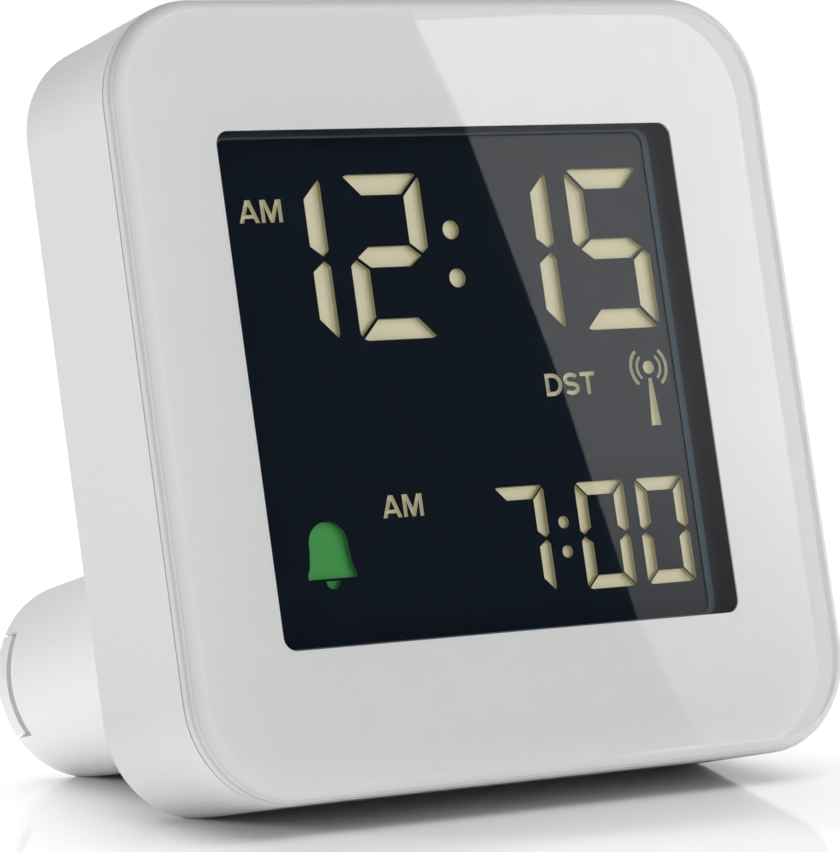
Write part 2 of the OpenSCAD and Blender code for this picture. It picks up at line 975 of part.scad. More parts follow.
module ferrite_rod() {
    color("#3a3a3c")
        stand()
            translate([0, ferrite_y, ferrite_z])
                rotate([0, 90, 0])
                    cylinder(h = ferrite_length, r = ferrite_r, center = true);
}

module antenna_coil() {
    color("peru")
        stand()
            translate([0, ferrite_y, ferrite_z])
                rotate([0, 90, 0])
                    difference() {
                        cylinder(h = coil_length, r = coil_r, center = true);
                        cylinder(h = coil_length + 2, r = ferrite_r + seat_gap, center = true);
                    }
}

module antenna_clips() {
    half = ferrite_r + clip_wall;
    color("ivory")
        stand()
            for (s = [-1, 1])
                translate([s * clip_x, ferrite_y, ferrite_z])
                    difference() {
                        block(
                            [-clip_w / 2, seat_gap - ferrite_floor_gap, -half],
                            [clip_w / 2, ferrite_r + seat_gap, half]
                        );
                        rotate([0, 90, 0])
                            cylinder(h = clip_w + 2, r = ferrite_r + seat_gap, center = true);
                        block(
                            [-clip_w, 0, -ferrite_r * clip_mouth],
                            [clip_w, ferrite_r + 1, ferrite_r * clip_mouth]
                        );
                    }
}

module antenna_leads() {
    spread = coil_length / 3;
    top = board_low + wire_lap;
    color("peru")
        stand()
            for (s = [-1, 1])
                translate([s * spread, ferrite_y + coil_r + seat_gap, board_back + fine_wire_r + seat_gap])
                    rotate([-90, 0, 0])
                        cylinder(h = top - ferrite_y - coil_r, r = fine_wire_r);
}

// One cell with its nub towards +X
module cell() {
    body = cell_length - cell_nub_h;
    rotate([0, 90, 0])
        translate([0, 0, -cell_length / 2]) {
            cylinder(h = body, r = cell_r);
            cylinder(h = cell_length, r = cell_nub_r);
        }
}

// The two cells point opposite ways, each pushed against its plate by its spring
module battery_cells() {
    color("#5c6f5f")
        stand()
            for (i = [0, 1])
                translate([(1 - 2 * i) * spring_length / 2, barrel_y, cell_depths[i]])
                    rotate([0, 0, 180 * i])
                        cell();
}

module battery_springs() {
    wire = 0.5;
    wide_r = 3.4;
    narrow_r = 2.4;
    color("silver")
        stand()
            for (i = [0, 1])
                translate([(2 * i - 1) * (contact_half - seat_gap / 2), barrel_y, cell_depths[i]])
                    rotate([0, 90 - 180 * i, 0])
                        rotate_extrude()
                            polygon([
                                [wide_r - wire, 0], [wide_r, 0],
                                [narrow_r, spring_length], [narrow_r - wire, spring_length]
                            ]);
}

// Contact plate from depth a to depth b on one partition
module contact_plate(side, a, b) {
    x = side * (contact_half + plate_t / 2);
    block([x - plate_t / 2, barrel_y - plate_half, a], [x + plate_t / 2, barrel_y + plate_half, b]);
}

// Tail of a contact plate, through the cover towards the board
module contact_tail(y, b) {
    block([contact_half, y - tail_w / 2, tail_front], [contact_half + plate_t, y + tail_w / 2, b]);
}

module battery_plates() {
    color("silver")
        stand() {
            contact_plate(-1, cell_depths[0] - plate_half, cell_depths[1] + plate_half);
            contact_plate(1, cell_depths[0] - plate_half, cell_depths[0] + plate_half);
            contact_tail(tail_places[0], cell_depths[0]);
            contact_plate(1, cell_depths[1] - plate_half, cell_depths[1] + plate_half);
            contact_tail(tail_places[1], cell_depths[1]);
            block(
                [contact_half, tail_places[1], cell_depths[1] - plate_half],
                [contact_half + plate_t, barrel_y, cell_depths[1]]
            );
        }
}

module power_leads() {
    color("red")
        stand()
            for (y = tail_places)
                translate([contact_half - lead_r - seat_gap, y, board_back])
                    cylinder(h = cover_front - slide_gap - board_back, r = lead_r);
}

front_lens();
face_mask();
case_shell();
rear_cover();
battery_door();
case_screws();
snooze_bar();
alarm_button();
time_button();
plus_button();
minus_button();
wave_button();
alarm_knob();
switch_lever();
lcd_frame();
lcd_panel();
lcd_reflector();
light_guide();
backlight_leds();
zebra_strip();
main_board();
board_screws();
clock_chip();
receiver_chip();
quartz_crystal();
tact_switches();
snooze_switch();
slide_switch();
buzzer_case();
piezo_disc();
buzzer_leads();
ferrite_rod();
antenna_coil();
antenna_clips();
antenna_leads();
battery_cells();
battery_springs();
battery_plates();
power_leads();
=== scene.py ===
import math

import bmesh
import bpy
from mathutils import Matrix, Vector


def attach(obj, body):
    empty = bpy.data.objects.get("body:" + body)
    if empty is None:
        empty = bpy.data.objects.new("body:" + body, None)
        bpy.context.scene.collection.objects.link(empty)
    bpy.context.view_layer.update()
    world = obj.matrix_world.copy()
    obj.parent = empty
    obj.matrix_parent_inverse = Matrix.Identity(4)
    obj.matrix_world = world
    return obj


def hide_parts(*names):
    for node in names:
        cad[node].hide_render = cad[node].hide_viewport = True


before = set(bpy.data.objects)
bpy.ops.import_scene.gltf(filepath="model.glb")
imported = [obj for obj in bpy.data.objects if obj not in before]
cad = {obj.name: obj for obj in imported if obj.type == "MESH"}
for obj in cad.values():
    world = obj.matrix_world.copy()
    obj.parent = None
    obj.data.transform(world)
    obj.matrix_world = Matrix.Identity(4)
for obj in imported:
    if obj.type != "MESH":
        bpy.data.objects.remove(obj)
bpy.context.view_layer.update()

# Case shell: the open box that carries everything, with a window in its front wall.
# It is injection moulded in white ABS in a spark-eroded mould, which leaves it satin.


def linear(hex_colour):
    """Linear RGBA of an sRGB hex value."""
    channels = [int(hex_colour[i:i + 2], 16) / 255 for i in (1, 3, 5)]
    return [c / 12.92 if c <= 0.04045 else ((c + 0.055) / 1.055) ** 2.4 for c in channels] + [1]


def add_node(tree, kind, values=None, links=None, **settings):
    """Adds a node with the values of its inputs, the links into it and its settings.
    A link from a node comes from its first output."""
    added = tree.nodes.new(kind)
    for name, value in settings.items():
        setattr(added, name, value)
    for socket, value in (values or {}).items():
        added.inputs[socket].default_value = value
    for socket, source in (links or {}).items():
        output = source.outputs[0] if isinstance(source, bpy.types.Node) else source
        tree.links.new(output, added.inputs[socket])
    return added


def new_material(name):
    """An empty node material and its tree."""
    material = bpy.data.materials.new(name)
    material.use_nodes = True
    material.node_tree.nodes.clear()
    return material, material.node_tree


def mottled(tree, size_mm, shade, colour, detail=2, rough=0.5, place=None):
    """Noise of a real size over a piece, and the tone between two colours that it gives."""
    place = place or add_node(tree, "ShaderNodeTexCoord").outputs["Object"]
    noise = add_node(
        tree, "ShaderNodeTexNoise",
        {"Scale": 1000 / size_mm, "Detail": detail, "Roughness": rough}, {"Vector": place},
    )
    ends = {6: linear(shade), 7: linear(colour)}
    tone = add_node(tree, "ShaderNodeMix", ends, {0: noise}, data_type="RGBA").outputs[2]
    return noise, tone


def moulded_plastic(name, colour, shade, roughness, grain, depth):
    """Plastic out of a textured mould: a fine matt grain in its colour, and a gloss that clouds
    a little. Grain and depth are millimetres. The real grain, about 0.05 mm, is drawn coarser so
    that it shows."""
    cloud_mm = 12
    clouding = 0.06
    material, tree = new_material(name)
    place = add_node(tree, "ShaderNodeTexCoord").outputs["Object"]
    cloud = add_node(
        tree, "ShaderNodeTexNoise", {"Scale": 1000 / cloud_mm, "Detail": 2}, {"Vector": place}
    )
    grains, tone = mottled(tree, grain, shade, colour, 3, 0.6, place)
    matt = add_node(
        tree, "ShaderNodeMapRange", {3: roughness - clouding, 4: roughness + clouding}, {0: cloud}
    )
    bump = add_node(tree, "ShaderNodeBump", {"Distance": depth / 1000}, {"Height": grains})
    plastic = add_node(
        tree, "ShaderNodeBsdfPrincipled", {"IOR": 1.53},
        {"Base Color": tone, "Roughness": matt, "Normal": bump},
    )
    add_node(tree, "ShaderNodeOutputMaterial", None, {"Surface": plastic})
    return material


def finish(material, *names):
    """Gives CAD nodes their finish."""
    for name in names:
        cad[name].material_slots[0].material = material


# White ABS reads as soft and even: no highlight on it has an edge.
white_abs = moulded_plastic("satin_white_abs", "#E4E4E3", "#DBDBDA", 0.48, 0.3, 0.008)
finish(white_abs, "case_shell")

# Lens: one plate of clear cast acrylic over the whole face, its front edge rounded and polished.
# Its rear is bonded to the printed mask, so only the outside mirrors the studio.
LENS_HALF = 37.5
LENS_CORNER = 10
LENS_EDGE = 1.5
LENS_DEPTH = 2.03
LEAN = math.radians(14.15)
FACE_PLACE = (0, -15.30475, 39.87536)

# From the drawing of the face, x right, y up, z out of the lens, in mm, to the standing clock in m
FROM_FRONT = Matrix.Scale(0.001, 4) @ Matrix.Translation(FACE_PLACE) @ Matrix.Rotation(
    math.pi / 2 - LEAN, 4, "X"
)
# The same for the rear: x right as seen from behind, y up, z out of the rear, from the lens's front
FROM_BEHIND = FROM_FRONT @ Matrix.Rotation(math.pi, 4, "Y")


def round_ring(bm, half_w, half_h, r, z, steps=16, middle_y=0, middle_x=0):
    """Vertices round a rectangle with round corners."""
    corners = ((1, 1, 0), (-1, 1, 90), (-1, -1, 180), (1, -1, 270))
    ring = []
    for sx, sy, start in corners:
        for i in range(steps + 1):
            a = math.radians(start + 90 * i / steps)
            x = sx * (half_w - r) + r * math.cos(a)
            y = sy * (half_h - r) + r * math.sin(a)
            ring.append(bm.verts.new((x + middle_x, y + middle_y, z)))
    return ring


def bridge(bm, lower, upper, smooth=True, material=0):
    """Faces between two rings of the same number of vertices."""
    for i in range(len(lower)):
        j = (i + 1) % len(lower)
        face = bm.faces.new((lower[i], lower[j], upper[j], upper[i]))
        face.smooth = smooth
        face.material_index = material


def new_object(name, bm, materials):
    """Turns a bmesh into an object of the scene."""
    mesh = bpy.data.meshes.new(name)
    bm.to_mesh(mesh)
    bm.free()
    for material in materials:
        mesh.materials.append(material)
    made = bpy.data.objects.new(name, mesh)
    bpy.context.scene.collection.objects.link(made)
    return made


def new_piece(name, bm, place, materials, body, slot, *replaced):
    """Turns a bmesh into a piece in its place, which rides on a body and stands for CAD nodes."""
    bmesh.ops.remove_doubles(bm, verts=bm.verts, dist=1e-5)
    bmesh.ops.recalc_face_normals(bm, faces=bm.faces)
    bm.transform(place)
    piece = new_object(name, bm, materials)
    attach(piece, body)
    if replaced:
        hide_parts(*replaced)


def let_through(tree, skin, *kinds):
    """Ends a material whose skin lets rays of these kinds pass."""
    ray = add_node(tree, "ShaderNodeLightPath").outputs
    clear = add_node(tree, "ShaderNodeBsdfTransparent", {"Color": linear("#FFFFFF")})
    for kind in kinds:
        skin = add_node(tree, "ShaderNodeMixShader", None, {0: ray[kind], 1: skin, 2: clear})
    add_node(tree, "ShaderNodeOutputMaterial", None, {"Surface": skin})


# Polished acrylic shows what is behind it a little lifted, under a thin sharp reflection.
# Faint swirls of polish break its gloss. Light from the lamps passes straight through it.
def clear_acrylic(name, gloss_ior):
    """Clear acrylic that bends the view and mirrors the studio by an index of its own."""
    swirl_mm = 6
    bend_ior = 1.2
    white = {"Color": linear("#FFFFFF")}
    material, tree = new_material(name)
    place = add_node(tree, "ShaderNodeTexCoord").outputs["Object"]
    swirls = add_node(
        tree, "ShaderNodeTexNoise", {"Scale": 1000 / swirl_mm, "Detail": 2}, {"Vector": place}
    )
    polish = add_node(tree, "ShaderNodeMapRange", {3: 0.004, 4: 0.012}, {0: swirls})
    mirror = add_node(tree, "ShaderNodeBsdfAnisotropic", white, {"Roughness": polish})
    bend = add_node(tree, "ShaderNodeBsdfRefraction", {**white, "Roughness": 0, "IOR": bend_ior})
    angle = add_node(tree, "ShaderNodeFresnel", {"IOR": gloss_ior})
    skin = add_node(tree, "ShaderNodeMixShader", None, {0: angle, 1: bend, 2: mirror})
    let_through(tree, skin, "Is Shadow Ray")
    return material


def banded(tree, uv_map, axis, stops):
    """Colours that follow each other along one axis of a piece's own UV map."""
    laid = add_node(tree, "ShaderNodeUVMap", uv_map=uv_map)
    along = add_node(tree, "ShaderNodeSeparateXYZ", None, {0: laid})
    bands = add_node(tree, "ShaderNodeValToRGB", None, {0: along.outputs[axis]})
    for position, _ in stops[1:-1]:
        bands.color_ramp.elements.new(position)
    for stop, (_, colour) in zip(bands.color_ramp.elements, stops):
        stop.color = linear(colour)
    return bands


acrylic = clear_acrylic("polished_acrylic", 1.26)
# The bonded rear has ink or a thin coat behind it, which takes nearly all of its gloss.
bonded = clear_acrylic("bonded_acrylic", 1.02)
# Its round edge is painted white: painted light that stands in for the ink's light inside the
# plate. Fine painted bands of light and shade run along it, where the bend shows the ink's border
# again. Mirrored and bent views pass it.
ground_gloss = {"Roughness": 0.4, "Specular IOR Level": 0.12}
edge_painted_light, tree = new_material("acrylic_edge_painted_light")
# Painted light and shade across the round edge, from the front to the side
bands = banded(tree, "turn", 0, (
    (0, "#D8D8D8"), (0.55, "#D6D6D6"), (0.6, "#CDCDCD"), (0.63, "#CDCDCD"), (0.66, "#D9D9D9"),
    (0.72, "#D9D9D9"), (0.78, "#C6C6C6"), (0.89, "#C8C8C8"), (0.94, "#D6D6D6"), (1, "#DADADA"),
))
ground = add_node(tree, "ShaderNodeBsdfPrincipled", ground_gloss, {"Base Color": bands})
let_through(tree, ground, "Is Glossy Ray", "Is Shadow Ray")
# The border behind it hides what is there: an even, faintly clouded white.
frost_mm = 2
ground_border, tree = new_material("ground_acrylic_border")
_, tone = mottled(tree, frost_mm, "#EDEDED", "#F1F1F1")
ground = add_node(tree, "ShaderNodeBsdfPrincipled", ground_gloss, {"Base Color": tone})
let_through(tree, ground, "Is Shadow Ray")

lens_skins = [acrylic, bonded, edge_painted_light, ground_border]
POLISHED, BONDED, PAINTED_EDGE, BORDER = range(len(lens_skins))
bm = bmesh.new()
turn_layer = bm.loops.layers.uv.new("turn")
edge_steps = 12
polished_steps = 2
rings = []
for i in range(edge_steps + 1):
    turn = math.pi / 2 * i / edge_steps
    out = LENS_EDGE * (math.sin(turn) - 1)
    back = LENS_EDGE * (math.cos(turn) - 1)
    rings.append(round_ring(bm, LENS_HALF + out, LENS_HALF + out, LENS_CORNER + out, back))
rings.append(round_ring(bm, LENS_HALF, LENS_HALF, LENS_CORNER, -LENS_DEPTH))
# Behind, the white runs in over the ink's border
rear_half = 36.9
rear_corner = LENS_CORNER - LENS_HALF + rear_half
rings.append(round_ring(bm, rear_half, rear_half, rear_corner, -LENS_DEPTH))
turn_of = {vert: min(i / edge_steps, 1) for i, ring in enumerate(rings) for vert in ring}
for i, (inner, outer) in enumerate(zip(rings, rings[1:])):
    skin_at = POLISHED if i < polished_steps else PAINTED_EDGE if i <= edge_steps else BORDER
    bridge(bm, outer, inner, i < edge_steps, skin_at)
bm.faces.new(rings[0])
bm.faces.new(rings[-1]).material_index = BONDED
for face in bm.faces:
    for loop in face.loops:
        loop[turn_layer].uv = (turn_of[loop.vert], 0)
new_piece("clear_lens", bm, FROM_FRONT, lens_skins, "clock_body", "lens_acrylic", "front_lens")

# Face mask: white ink screen printed on the rear of the lens in several passes, with the window
# left open. Thick opaque ink is even and faintly glossy where it shows through the acrylic.
ink_mm = 2.5
ink, tree = new_material("screen_printed_white_ink")
flow, tone = mottled(tree, ink_mm, "#EBEBEB", "#EEEEEE", 3)
gloss = add_node(tree, "ShaderNodeMapRange", {3: 0.01, 4: 0.025}, {0: flow})
print_shader = add_node(
    tree, "ShaderNodeBsdfPrincipled", {"IOR": 1.6}, {"Base Color": tone, "Roughness": gloss}
)
add_node(tree, "ShaderNodeOutputMaterial", None, {"Surface": print_shader})
finish(ink, "face_mask")

# Bond line: the grey bead of adhesive between lens and case, round the edge of the mask.
# It cures a little inside the edge and reads as a fine dark line round the whole face.
MASK_HALF = 37.1
bead_inner, bead_outer, bead_front, bead_rear = MASK_HALF + 0.01, 37.34, 2.06, 2.24
adhesive = moulded_plastic("grey_adhesive", "#8C8C8D", "#7E7E80", 0.5, 0.4, 0.01)
bm = bmesh.new()
rings = []
for half, depth in (
    (bead_inner, bead_front), (bead_outer, bead_front),
    (bead_outer, bead_rear), (bead_inner, bead_rear),
):
    rings.append(round_ring(bm, half, half, LENS_CORNER - LENS_HALF + half, -depth))
for i in range(len(rings)):
    bridge(bm, rings[i], rings[(i + 1) % len(rings)], smooth=False)
new_piece("lens_bond", bm, FROM_FRONT, [adhesive], "clock_body", "mask_print")

# Display frame: black ABS, moulded, its collar pushed through the window from behind.
# A thin lip at the collar's foot covers the border of the glass; its inner rim is printed grey.
WINDOW_Y = 0.8
frame_abs = moulded_plastic("black_satin_abs", "#25262E", "#202129", 0.42, 0.35, 0.002)
# Grey print on the lip shows as a fine light line between the black wall and the glass.
lip_print = moulded_plastic("grey_lip_print", "#465762", "#40505B", 0.5, 0.3, 0.001)
# Half width, half height, corner, depth and shift to the right; the lip is wider on the right
frame_profile = (
    (26.55, 24.65, 1.65, 2.3, 0), (26.55, 24.65, 1.65, 4.4, 0), (25.35, 24.2, 1.4, 4.4, -0.2),
    (24.7, 24, 1.2, 4.4, -0.3), (24.7, 24, 1.2, 4.5, -0.3),
    (28.2, 26.3, 0.2, 4.5, 0), (28.2, 26.3, 0.2, 8.9, 0), (29.2, 27.3, 0.4, 8.9, 0),
    (29.2, 27.3, 0.4, 3.8, 0), (27.75, 25.85, 2.85, 3.8, 0), (27.75, 25.85, 2.85, 2.3, 0),
)
printed_step = 2
corner_steps = 8
bm = bmesh.new()
rings = [
    round_ring(bm, w, h, r, -depth, corner_steps, WINDOW_Y, shift)
    for w, h, r, depth, shift in frame_profile
]
for i in range(len(rings)):
    printed = 1 if i == printed_step else 0
    bridge(bm, rings[i], rings[(i + 1) % len(rings)], smooth=False, material=printed)
new_piece(
    "display_frame", bm, FROM_FRONT, [frame_abs, lip_print], "clock_body", "black_abs", "lcd_frame"
)

# Display glass: a negative liquid crystal cell, dark where it is off and clear where a segment is
# on. The segments are openings in its dark layer, with the reflector's light in their depth.
GLASS_FRONT = 4.55
GLASS_DARK = 0.65
GLASS_DEPTH = 1.6
GLASS_W = 56.1
GLASS_H = 52.3
# A figure's width, its lower and upper end, and its segments' thickness and gap
BIG = {"w": 9, "y0": 5.4, "y1": 21.35, "t": 2, "gap": 0.33}
SMALL = {"w": 5.8, "y0": -19.75, "y1": -9.35, "t": 1.3, "gap": 0.17}
SEGMENTS = {"0": "abcdef", "1": "bc", "2": "abged", "5": "afgcd", "7": "abc"}


def digit(figure, right, size):
    """Outlines of a seven-segment figure that ends at an x. Its outer corners are round."""
    t, w, high = size["t"], size["w"], (size["y1"] - size["y0"]) / 2
    x0, ym = right - w, (size["y0"] + size["y1"]) / 2
    o = size["gap"] / math.sqrt(2)
    r = t / 2
    split = 135 - math.degrees(math.asin(o / (r * math.sqrt(2))))
    turns = [math.radians(split + (90 - split) * i / 5) for i in range(6)]
    corner = [(r + r * math.cos(a), high - r + r * math.sin(a)) for a in turns]
    top = corner + [(w - x, y) for x, y in reversed(corner)]
    top += [(w - t - o, high - t), (t + o, high - t)]
    # Across the corner's diagonal the end of the top is the end of the side
    round_end = [(high - y, high - x) for x, y in corner]
    point = 0.33 * t
    side = [(0, 0.4 * t), *reversed(round_end), (t, high - t - o), (t, t / 2 + o), (point, o)]
    tip = point + o
    middle = [
        (tip, 0), (t + o, t / 2), (w - t - o, t / 2),
        (w - tip, 0), (w - t - o, -t / 2), (t + o, -t / 2),
    ]
    shapes = {
        "a": top, "d": [(x, -y) for x, y in top], "g": middle,
        "f": side, "b": [(w - x, y) for x, y in side],
        "e": [(x, -y) for x, y in side], "c": [(w - x, -y) for x, y in side],
    }
    return [[(x0 + x, ym + y) for x, y in shapes[name]] for name in SEGMENTS[figure]]


def arc(x, y, r, degrees):
    """Points at these angles on a circle."""
    turns = [math.radians(a) for a in degrees]
    return [Vector((x + r * math.cos(a), y + r * math.sin(a))) for a in turns]


def disc(x, y, r, steps=24):
    """Outline of a disc."""
    return arc(x, y, r, [360 * i / steps for i in range(steps)])


def arc_band(x, y, inner, outer, middle, half, steps=14):
    """Part of a ring round a point, with its middle and half angle in degrees."""
    turns = [middle - half + 2 * half * i / steps for i in range(steps + 1)]
    return arc(x, y, outer, turns) + arc(x, y, inner, reversed(turns))


def stroke(path, width):
    """Outline of a line of even width along a path, square at both ends."""
    path = [Vector(p) for p in path]
    sides = ([], [])
    for i, p in enumerate(path):
        ahead = (path[i + 1] - p).normalized() if i < len(path) - 1 else None
        behind = (p - path[i - 1]).normalized() if i else None
        along = ((ahead or behind) + (behind or ahead)).normalized()
        across = Vector((-along.y, along.x))
        stretch = 1 / max(0.5, along.dot(ahead or behind))
        sides[0].append(p + across * width / 2 * stretch)
        sides[1].append(p - across * width / 2 * stretch)
    return sides[0] + sides[1][::-1]


def letter(name, w, h, t):
    """Outlines of a bold capital in a box of its own; an inner outline is a counter."""
    if name == "A":
        foot = t * 1.12
        half_top = foot * 0.58
        bar = (0.2 * h, 0.2 * h + t * 0.85)
        rise = w / 2 - foot / 2
        left = [foot + rise * b / h * 0.92 for b in bar]
        peak = 0.76 * h
        return [
            [(0, 0), (w / 2 - half_top, h), (w / 2 + half_top, h), (w, 0), (w - foot, 0),
             (w - left[0], bar[0]), (left[0], bar[0]), (foot, 0)],
            [(left[1], bar[1]), (w / 2, peak), (w - left[1], bar[1])],
        ]
    if name == "M":
        shoulder, half_point, valley, inside = 1.45 * t, 0.46 * t, 0.36 * h, 0.74 * h
        return [[
            (0, 0), (0, h), (shoulder, h), (w / 2, valley), (w - shoulder, h), (w, h), (w, 0),
            (w - t, 0), (w - t, inside), (w / 2 + half_point, 0), (w / 2 - half_point, 0),
            (t, inside), (t, 0),
        ]]
    if name == "T":
        left, right = (w - t) / 2, (w + t) / 2
        return [[
            (0, h), (w, h), (w, h - t), (right, h - t), (right, 0), (left, 0), (left, h - t),
            (0, h - t),
        ]]
    if name == "D":
        outlines = []
        for step in (0, t):
            bow = arc(w - h / 2, h / 2, h / 2 - step, range(-90, 91, 12))
            outlines.append([(step, step)] + bow + [(step, h - step)])
        return outlines
    # What is left is the S, a line along two flat bows
    r = (h - t) / 4
    bow = (w - t) / 2
    line = []
    for turns, middle in ((range(25, 271, 15), h - t / 2 - r), (range(75, -156, -15), t / 2 + r)):
        for a in map(math.radians, turns):
            line.append((w / 2 + bow * math.cos(a), middle + r * math.sin(a)))
    return [stroke(line, t)]


def word(letters, x0, x1, y0, y1):
    """Outlines of a word of bold capitals in a box."""
    h = y1 - y0
    widths = {"A": 0.98, "M": 1.02, "D": 0.86, "S": 0.8, "T": 0.76}
    gap = 0.1 * h
    stem = 0.185 * h
    natural = sum(widths[c] * h for c in letters) + gap * (len(letters) - 1)
    fit = (x1 - x0) / natural
    outlines = []
    x = x0
    for c in letters:
        w = widths[c] * h * fit
        for points in letter(c, w, h, stem):
            outlines.append([(x + px, y0 + py) for px, py in points])
        x += w + gap * fit
    return outlines


bell_x, bell_y, dome_r = -18.2, -13.55, 2.15
clapper_y, clapper_r = -16.95, 0.8
half_bell = [(2.675, -16.75), (2.675, -16.3), (2.42, -15.75), (2.28, -15), (2.18, -14.2)]
bell = (
    [(bell_x + x, y) for x, y in half_bell] + arc(bell_x, bell_y, dome_r, range(0, 181, 10))
    + [(bell_x - x, y) for x, y in reversed(half_bell)]
)
mast_x, mast_top, wave_y = 21.55, 0.4, 1.45
openings = [
    *digit("1", -13.7, BIG), *digit("2", -2.4, BIG),
    *digit("1", 12.4, BIG), *digit("5", 23.7, BIG),
    disc(0.5, 15.75, 0.92), disc(0.5, 11.05, 0.92),
    *digit("7", 6.95, SMALL), *digit("0", 16.45, SMALL), *digit("0", 23.65, SMALL),
    disc(8.8, -13.1, 0.6), disc(8.8, -15.95, 0.6),
    *word("AM", -23.1, -18.3, 17, 19.2), *word("AM", -11.7, -7.1, -11.5, -9.35),
    *word("DST", 9, 14.9, -0.85, 1.35),
    bell, arc(bell_x, clapper_y, clapper_r, range(180, 361, 15)),
    [(20.975, -4.3), (22.125, -4.3), (mast_x + 0.2, mast_top), (mast_x - 0.2, mast_top)],
    disc(mast_x, wave_y, 0.65),
]
for inner, outer in ((1.25, 1.55), (1.95, 2.3)):
    for side in (0, 180):
        openings.append(arc_band(mast_x, wave_y, inner, outer, side, 50))


def plain_film(name, size_mm, colour, shade, values, *tinted):
    """A film with a faint noise of a real size in its colour, which tints these sockets."""
    material, tree = new_material(name)
    _, tone = mottled(tree, size_mm, shade, colour)
    film = add_node(tree, "ShaderNodeBsdfPrincipled", values, {socket: tone for socket in tinted})
    add_node(tree, "ShaderNodeOutputMaterial", None, {"Surface": film})
    return material


# The dark layer is dyed film between polished glass: nearly black, a little blue, and sharp in
# its gloss.
film_mm = 3
sharp = {"Roughness": 0.01, "IOR": 1.32}
dark_film = plain_film("dark_polariser_film", film_mm, "#161D25", "#141A22", sharp, "Base Color")


# Painted shade: in the depth of a segment the wall's colours stand in for the dark film's soft
# shade on the reflector, olive at the rim, darker, then cream. Their faint glow is painted light.
def segment_edge(name, rim, middle, deep, glow=0.2):
    """The wall of an opening in the dark film, from its rim to the reflector, in painted shade and
    with a painted glow.
    """
    material, tree = new_material(name)
    tone = banded(tree, "depth", 1, ((0, rim), (0.4, middle), (1, deep)))
    tone.color_ramp.interpolation = "EASE"
    shader = add_node(
        tree, "ShaderNodeBsdfPrincipled", {"Roughness": 0.6, "Emission Strength": glow},
        {"Base Color": tone, "Emission Color": tone},
    )
    add_node(tree, "ShaderNodeOutputMaterial", None, {"Surface": shader})
    return material


cream_edge = segment_edge("shaded_cream_edge", "#A09A74", "#858060", "#BAB595")
green_edge = segment_edge("shaded_green_edge", "#38703F", "#27532F", "#317F3C")
# Words and antenna are drawn so fine that the reflector's light fills them to the rim: their
# walls get a lighter painted shade and a stronger painted glow.
fine_edge = segment_edge("lit_cream_edge", "#AEAB95", "#A3A08A", "#BDBAA4", 0.36)
# Left, right, lower and upper end of what they take up
fine_print = ((-23.6, -18, 16.4, 19.5), (-12.2, -6.8, -12.1, -9.1), (8.5, 24.2, -4.9, 4.2))

# Pearl reflector film behind a segment is matt, with a fine grain, and has a faint painted glow
# of its own.
pearl_mm = 0.3
pearl_and_glow = ({"Roughness": 0.55, "Emission Strength": 0.35}, "Base Color", "Emission Color")
cream_film = plain_film("cream_reflector_film", pearl_mm, "#C1BCA1", "#BBB69A", *pearl_and_glow)
# The bell's green filter has the same painted glow.
green_film = plain_film("green_filter_film", pearl_mm, "#33813C", "#2F7737", *pearl_and_glow)


def add_made(bm, holder, place):
    """Adds the mesh that an object comes out as to a bmesh, in its place. The object goes."""
    bpy.context.scene.collection.objects.link(holder)
    made = holder.evaluated_get(bpy.context.evaluated_depsgraph_get())
    mesh = bpy.data.meshes.new_from_object(made)
    bpy.data.objects.remove(holder)
    mesh.transform(place)
    bm.from_mesh(mesh)
    bpy.data.meshes.remove(mesh)


def slab(bm, x0, x1, y0, y1, z0, z1, material):
    """A closed block between two corners."""
    around = ((x0, y0), (x1, y0), (x1, y1), (x0, y1))
    corners = [bm.verts.new((x, y, z)) for z in (z0, z1) for x, y in around]
    sides = ((3, 2, 1, 0), (4, 5, 6, 7), (0, 1, 5, 4), (1, 2, 6, 5), (2, 3, 7, 6), (3, 0, 4, 7))
    for side in sides:
        bm.faces.new([corners[i] for i in side]).material_index = material


glass_layers = [dark_film, cream_edge, cream_film, green_film, green_edge, fine_edge]
DARK, CREAM_WALL, CREAM, GREEN, GREEN_WALL, FINE_WALL = range(len(glass_layers))
outline = bpy.data.curves.new("segment_openings", "CURVE")
outline.dimensions = "2D"
outline.fill_mode = "BOTH"
outline.extrude = GLASS_DARK / 2
CORNERS = ((-1, -1), (1, -1), (1, 1), (-1, 1))
border = [(sx * GLASS_W / 2, WINDOW_Y + sy * GLASS_H / 2) for sx, sy in CORNERS]
artwork_x, artwork_y = -0.18, -0.145
openings = [[(x + artwork_x, y + artwork_y) for x, y in points] for points in openings]
for points in [border] + openings:
    spline = outline.splines.new("POLY")
    spline.points.add(len(points) - 1)
    for point, (x, y) in zip(spline.points, points):
        point.co = (x, y, 0, 1)
    spline.use_cyclic_u = True
bm = bmesh.new()
add_made(bm, bpy.data.objects.new("segment_openings", outline), Matrix())
bmesh.ops.remove_doubles(bm, verts=bm.verts, dist=1e-4)
bmesh.ops.recalc_face_normals(bm, faces=bm.faces)
depth_layer = bm.loops.layers.uv.new("depth")
inside_x, inside_y = GLASS_W / 2 - 0.1, GLASS_H / 2 - 0.1
bell_reach = 4
for face in bm.faces:
    face.smooth = False
    face.material_index = DARK
    for loop in face.loops:
        loop[depth_layer].uv = (0, 0.5 - loop.vert.co.z / GLASS_DARK)
    inside = all(
        abs(v.co.x) < inside_x and abs(v.co.y - WINDOW_Y) < inside_y for v in face.verts
    )
    if inside and abs(face.normal.z) < 0.5:
        middle = face.calc_center_median()
        in_bell = middle.x < bell_x + bell_reach and middle.y < bell_y + bell_reach
        in_print = any(x0 < middle.x < x1 and y0 < middle.y < y1 for x0, x1, y0, y1 in fine_print)
        face.material_index = GREEN_WALL if in_bell else FINE_WALL if in_print else CREAM_WALL
bm.transform(Matrix.Translation((0, 0, -GLASS_FRONT - GLASS_DARK / 2)))

